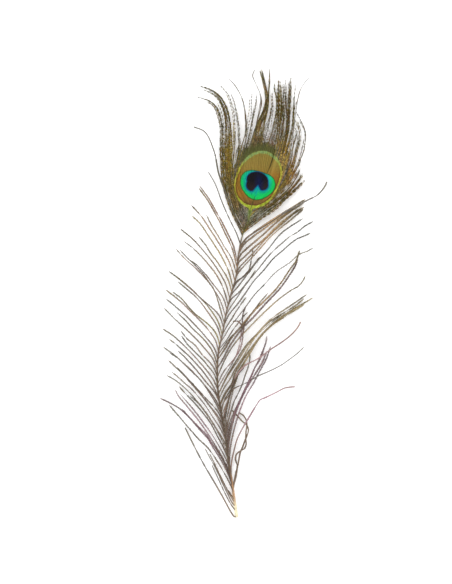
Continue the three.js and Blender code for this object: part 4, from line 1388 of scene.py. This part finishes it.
def eye_material(group, eye):
    """The eye's rings over the barbs' own colours, by each point's distance from the rings."""
    material, w = new_material("Eye Barb", EyeWiring)
    colour = band_and_rim(w, eye)
    colour = w.mix(w.fade(w.disc, -0.15, 0.45), colour, mark("disc edge"))
    colour = w.mix(w.fade(w.disc, -0.8, -0.1), colour, bright_disc(w, eye))
    blue_reach = w.step(w.y, 69, 76, 1.15, 0.6)
    colour = w.mix(w.fade(w.heart, 0.2, blue_reach), colour, eye.blue)
    colour = w.mix(w.fade(w.heart, -0.25, 0.4), colour, dark_heart(w, eye))
    outside = w.step(w.less(w.rim, w.fact("point")), 0.1, 0.7)
    colour = w.mix(outside, colour, past_the_rim(w))
    shaft_shows = w.plus(w.fade(w.y, 61.5, 65.5), w.window(w.y, (77.5, 80.5), (92.5, 95.5)))
    thread = w.times(w.fade(w.stem, 0.12, 0.5, 0.75), shaft_shows)
    colour = w.mix(thread, colour, mark("thread"))
    colour = w.dim(colour, w.step(w.fact("shade"), 0.0, 1.0, 0.94, 1.06))
    grain = grained(w, group, colour, 0.14, 1100.0)
    metal = w.times(w.fade(w.rim, 0.1, 0.7), w.step(w.disc, -0.4, 0.6, 0.45, 0.2))
    finish_shader(w, grain["Colour"], grain["Roughness"], grain["Height"], 0.25, metal,
                  **{"Specular IOR Level": 0.2})
    return material


def shaft_material(group, shaft):
    """Horn that runs from cream at the quill through tan and brown to green in the eye."""
    material, w = new_material("Shaft Horn")
    place = w.node("ShaderNodeTexCoord").outputs["Object"]
    up = w.node("ShaderNodeSeparateXYZ", {"Vector": place}).outputs["Y"]
    drift = w.times(w.less(w.noise(place, 120.0), 0.5), 20.0)
    up = w.plus(w.times(up, 1 / MM), drift)
    colour = shaft.cream
    for name, low, high in SHAFT_STEPS:
        colour = w.mix(w.step(up, low, high), colour, getattr(shaft, name))
    colour = w.mix(w.step(up, 66, 74), colour, mark("shaft tip"))
    streaks = w.noise(w.stretched(place, (1.0, 0.05, 1.0)), 2600.0)
    colour = w.mix(w.step(streaks, 0.45, 0.62), colour, w.dye(colour, (0.72, 0.7, 0.66)))
    grain = grained(w, group, colour, 0.1, 500.0)
    finish_shader(w, grain["Colour"], w.times(grain["Roughness"], 0.75), streaks, 0.35,
                  **{"Coat Weight": 0.2, "Coat Roughness": 0.25})
    return material


def floor_material(stage):
    material, w = new_material("Pale Floor")
    place = w.node("ShaderNodeTexCoord").outputs["Object"]
    cloud = w.noise(place, 6.0)
    pale = w.mix(w.step(cloud, 0.3, 0.7, 0.0, 0.35), stage.floor, (0.93, 0.93, 0.94))
    finish_shader(w, pale, w.step(cloud, 0.3, 0.7, 0.85, 0.95), w.noise(place, 900.0), 0.02,
                  **{"Emission Color": (1, 1, 1, 1), "Emission Strength": stage.glow})
    return material


# ---------------------------------------------------------------- operators


def material_named(name, make, *arguments):
    """The material of that name, made the first time it is asked for."""
    return bpy.data.materials.get(name) or make(grain_group(), *arguments)


def grain_group():
    return bpy.data.node_groups.get("Horn Grain") or horn_grain_group()


def settle_piece(piece):
    """Sets a finished piece on the body it rides on and hides the solid that it stands for."""
    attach(piece, BODY)
    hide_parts(SOLID)


def select_only(thing):
    bpy.ops.object.select_all(action="DESELECT")
    thing.select_set(True)
    bpy.context.view_layer.objects.active = thing


class FEATHER_OT_shaft(bpy.types.Operator):
    """Builds the quill and the shaft, hollow at its cut end"""

    bl_idname = "feather.shaft"
    bl_label = "Shaft"

    def execute(self, context):
        settings = context.scene.feather_shaft
        bpy.ops.object.select_all(action="DESELECT")
        bpy.ops.curve.primitive_nurbs_path_add(enter_editmode=False)
        piece = context.object
        piece.name = "shaft"
        data = piece.data
        data.splines.clear()
        spline = data.splines.new("POLY")
        x, y, radius = np.array(SHAFT).T
        line = smooth_line(np.column_stack([x, y, shaft_height(y, radius)]), SHAFT_POINTS)
        spline.points.add(len(line) - 1)
        for point, place in zip(spline.points, line):
            point.co = (*(place * MM), 1)
            point.radius = np.interp(place[1], y, radius)
        data.dimensions = "3D"
        data.bevel_depth = MM
        data.bevel_resolution = 3
        data.use_fill_caps = True
        bpy.ops.object.convert(target="MESH")
        piece = context.object
        merge_doubles(piece.data)
        hollow_quill(piece, settings)
        bpy.ops.object.shade_smooth_by_angle(angle=SHAFT_SMOOTH)
        piece.data.materials.clear()
        piece.data.materials.append(material_named("Shaft Horn", shaft_material, settings))
        settle_piece(piece)
        return {"FINISHED"}


def merge_doubles(mesh):
    form = bmesh.new()
    form.from_mesh(mesh)
    bmesh.ops.remove_doubles(form, verts=form.verts, dist=1e-7)
    bmesh.ops.recalc_face_normals(form, faces=form.faces)
    form.to_mesh(mesh)
    form.free()


def hollow_quill(piece, settings):
    """Insets the quill's cut end and runs it in, as the real one is open there."""
    select_only(piece)
    end = min(piece.data.polygons, key=lambda face: face.center.y)
    inward = -end.normal.copy()
    chosen = end.index
    for element in (piece.data.polygons, piece.data.edges, piece.data.vertices):
        element.foreach_set("select", np.zeros(len(element), bool))
    piece.data.polygons[chosen].select = True
    bpy.ops.object.mode_set(mode="EDIT")
    bpy.ops.mesh.select_mode(type="FACE")
    bpy.ops.mesh.inset(thickness=settings.wall)
    bpy.ops.mesh.extrude_region_move(
        TRANSFORM_OT_translate={"value": tuple(inward * settings.hollow)})
    bpy.ops.transform.resize(value=(HOLLOW_TAPER,) * 3)
    bpy.ops.object.mode_set(mode="OBJECT")


class FEATHER_OT_side_barbs(bpy.types.Operator):
    """Builds the loose barbs down both sides of the shaft"""

    bl_idname = "feather.side_barbs"
    bl_label = "Side Barbs"

    def execute(self, context):
        settings = context.scene.feather_barbs
        material = material_named("Loose Barb", loose_barb_material)
        for name, lines, seed in (("side_barbs_right", RIGHT_LINES, 1),
                                  ("side_barbs_left", LEFT_LINES, 2)):
            pile = Pile()
            side_barbs(pile, lines, settings, settings.seed + seed)
            settle_piece(pile.build(name, material))
        return {"FINISHED"}


class FEATHER_OT_stray_barbs(bpy.types.Operator):
    """Builds the thin barbs that cross the others"""

    bl_idname = "feather.stray_barbs"
    bl_label = "Stray Barbs"

    def execute(self, context):
        settings = context.scene.feather_barbs
        lines = [*RIGHT_LINES, *LEFT_LINES, STRAY_ARC]
        strays = [line for line in lines if line[0] in (STRAY, WISP)]
        pile = Pile()
        stray_barbs(pile, strays, settings, settings.seed + 3)
        settle_piece(pile.build("stray_barbs", material_named("Loose Barb", loose_barb_material)))
        return {"FINISHED"}


class FEATHER_OT_fan_barbs(bpy.types.Operator):
    """Builds the barbs that lie close over the eye and run on into the plume"""

    bl_idname = "feather.fan_barbs"
    bl_label = "Eye and Plume Barbs"

    def execute(self, context):
        settings = context.scene.feather_barbs
        material = material_named("Eye Barb", eye_material, context.scene.feather_eye)
        for number, (name, lines, hand, roots_from, roots_to, closeness) in enumerate(FANS):
            pile = Pile()
            seed = settings.seed + 10 * (number + 1)
            fan_barbs(pile, lines, hand, roots_from, roots_to, closeness, settings, seed)
            inside = [line for line in lines if roots_from <= line[1] < roots_to]
            marked_barbs(pile, inside, settings, seed + 5)
            settle_piece(pile.build(name, material, eye=True))
        return {"FINISHED"}


def points_of(mesh):
    co = np.empty(3 * len(mesh.vertices))
    mesh.vertices.foreach_get("co", co)
    return co.reshape(-1, 3)


def web_points(u, v):
    """Points of a square, each side from -1 to 1, moved into a low dome in the eye's outline
    with a ragged edge, in mm."""
    across = u * np.sqrt(1 - v * v / 2)
    up = v * np.sqrt(1 - u * u / 2)
    turn = np.arctan2(across, up)
    radius = np.hypot(across, up)
    top, bottom = np.maximum(0, np.cos(turn)), np.maximum(0, -np.cos(turn))
    ragged = (0.5 * np.sin(23 * turn) + 0.35 * np.sin(41 * turn + 1)) * (1 + 2 * top)
    reach = (uneven_reach(turn, RIM_REACH) + WEB_REACH + WEB_CROWN * top**3
             + WEB_FOOT * bottom**14 + ragged)
    side, rise = radius * reach * np.sin(turn), radius * reach * np.cos(turn)
    return np.column_stack([
        RIM_CENTRE[0] + side * math.cos(EYE_LEAN) + rise * math.sin(EYE_LEAN),
        RIM_CENTRE[1] - side * math.sin(EYE_LEAN) + rise * math.cos(EYE_LEAN),
        WEB_HEIGHT + WEB_DOME * (1 - radius**2),
    ])


class FEATHER_OT_web(bpy.types.Operator):
    """Builds the thin web of hooked barbules that closes the vane under the eye's barbs"""

    bl_idname = "feather.web"
    bl_label = "Vane Web"

    def execute(self, context):
        bpy.ops.object.select_all(action="DESELECT")
        bpy.ops.mesh.primitive_grid_add(
            x_subdivisions=WEB_SQUARES, y_subdivisions=WEB_SQUARES, size=2)
        piece = context.object
        piece.name = "eye_web"
        mesh = piece.data
        points = web_points(*points_of(mesh)[:, :2].T)
        mesh.vertices.foreach_set("co", (points * MM).ravel())
        solid = piece.modifiers.new("Thickness", "SOLIDIFY")
        solid.thickness = WEB_THICKNESS * MM
        bpy.ops.object.modifier_apply(modifier="Thickness")
        bpy.ops.object.shade_smooth()
        self.colour(mesh)
        mesh.materials.append(material_named("Eye Barb", eye_material, context.scene.feather_eye))
        settle_piece(piece)
        return {"FINISHED"}

    def colour(self, mesh):
        """Gives the web the same facts that the barbs over it have."""
        points = points_of(mesh) / MM
        none = np.zeros(len(points))
        store_looks(mesh, np.tile(mark("web"), (len(points), 1)), none, none, none + 0.2)
        store_eye_facts(mesh, points)
        while mesh.uv_layers:
            mesh.uv_layers.remove(mesh.uv_layers[0])
        lay_out(mesh, points)


# The stage, in metres and degrees, and the camera's sensor, in mm.
FLOOR_SIZE = 6
LAMP_PLACE = (-0.5, 0.6, 1.3)
LAMP_TURN = (-25, -21, 0)
LAMP_SIZE = 1.1
CAMERA_PLACE = (-0.0117, 0.0005)
SENSOR_WIDTH = 36


class FEATHER_OT_stage(bpy.types.Operator):
    """Lays the pale floor, the soft lights and the camera"""

    bl_idname = "feather.stage"
    bl_label = "Stage"

    def execute(self, context):
        stage = context.scene.feather_stage
        bpy.ops.object.select_all(action="DESELECT")
        bpy.ops.mesh.primitive_plane_add(size=FLOOR_SIZE)
        floor = context.object
        floor.name = "floor"
        floor.data.materials.append(floor_material(stage))

        bpy.ops.object.light_add(type="AREA", location=LAMP_PLACE)
        lamp = context.object
        lamp.name = "soft_lamp"
        lamp.data.shape = "DISK"
        lamp.data.size = LAMP_SIZE
        lamp.data.energy = stage.lamp
        lamp.rotation_euler = [math.radians(turn) for turn in LAMP_TURN]

        world = bpy.data.worlds.new("Soft Room")
        world.use_nodes = True
        sky = world.node_tree.nodes["Background"].inputs
        sky["Color"].default_value = (1, 1, 1, 1)
        sky["Strength"].default_value = stage.ambient
        context.scene.world = world

        camera = bpy.data.objects.new("camera", bpy.data.cameras.new("camera"))
        context.scene.collection.objects.link(camera)
        camera.data.lens = stage.lens
        camera.data.sensor_width = SENSOR_WIDTH
        camera.location = (*CAMERA_PLACE, stage.camera_height)
        context.scene.camera = camera
        context.scene.view_settings.view_transform = "Standard"
        return {"FINISHED"}


class FEATHER_PT_panel(bpy.types.Panel):
    """Lists the feather's settings and its building steps"""

    bl_label = "Peacock Feather"
    bl_idname = "FEATHER_PT_panel"
    bl_space_type = "VIEW_3D"
    bl_region_type = "UI"
    bl_category = "Feather"

    def draw(self, context):
        scene = context.scene
        for label, settings, steps in SECTIONS:
            box = self.layout.box()
            box.label(text=label)
            group = getattr(scene, settings)
            for name in group.bl_rna.properties.keys():
                if name not in ("rna_type", "name"):
                    box.prop(group, name)
            for step in steps:
                box.operator(step)


SECTIONS = [
    ("Shaft", "feather_shaft", ["feather.shaft"]),
    ("Barbs", "feather_barbs", ["feather.side_barbs", "feather.stray_barbs"]),
    ("Eye", "feather_eye", ["feather.web", "feather.fan_barbs"]),
    ("Stage", "feather_stage", ["feather.stage"]),
]
SETTINGS = {
    "feather_shaft": FeatherShaftSettings,
    "feather_barbs": FeatherBarbSettings,
    "feather_eye": FeatherEyeSettings,
    "feather_stage": FeatherStageSettings,
}
CLASSES = [
    *SETTINGS.values(), FEATHER_OT_shaft, FEATHER_OT_side_barbs, FEATHER_OT_stray_barbs,
    FEATHER_OT_fan_barbs, FEATHER_OT_web, FEATHER_OT_stage, FEATHER_PT_panel,
]


def register():
    for kind in CLASSES:
        bpy.utils.register_class(kind)
    for name, kind in SETTINGS.items():
        setattr(bpy.types.Scene, name, bpy.props.PointerProperty(type=kind))


def unregister():
    for name in SETTINGS:
        delattr(bpy.types.Scene, name)
    for kind in reversed(CLASSES):
        bpy.utils.unregister_class(kind)


def main():
    register()
    bpy.ops.feather.shaft()
    bpy.ops.feather.web()
    bpy.ops.feather.fan_barbs()
    bpy.ops.feather.side_barbs()
    bpy.ops.feather.stray_barbs()
    bpy.ops.feather.stage()


if __name__ == "__main__":
    main()
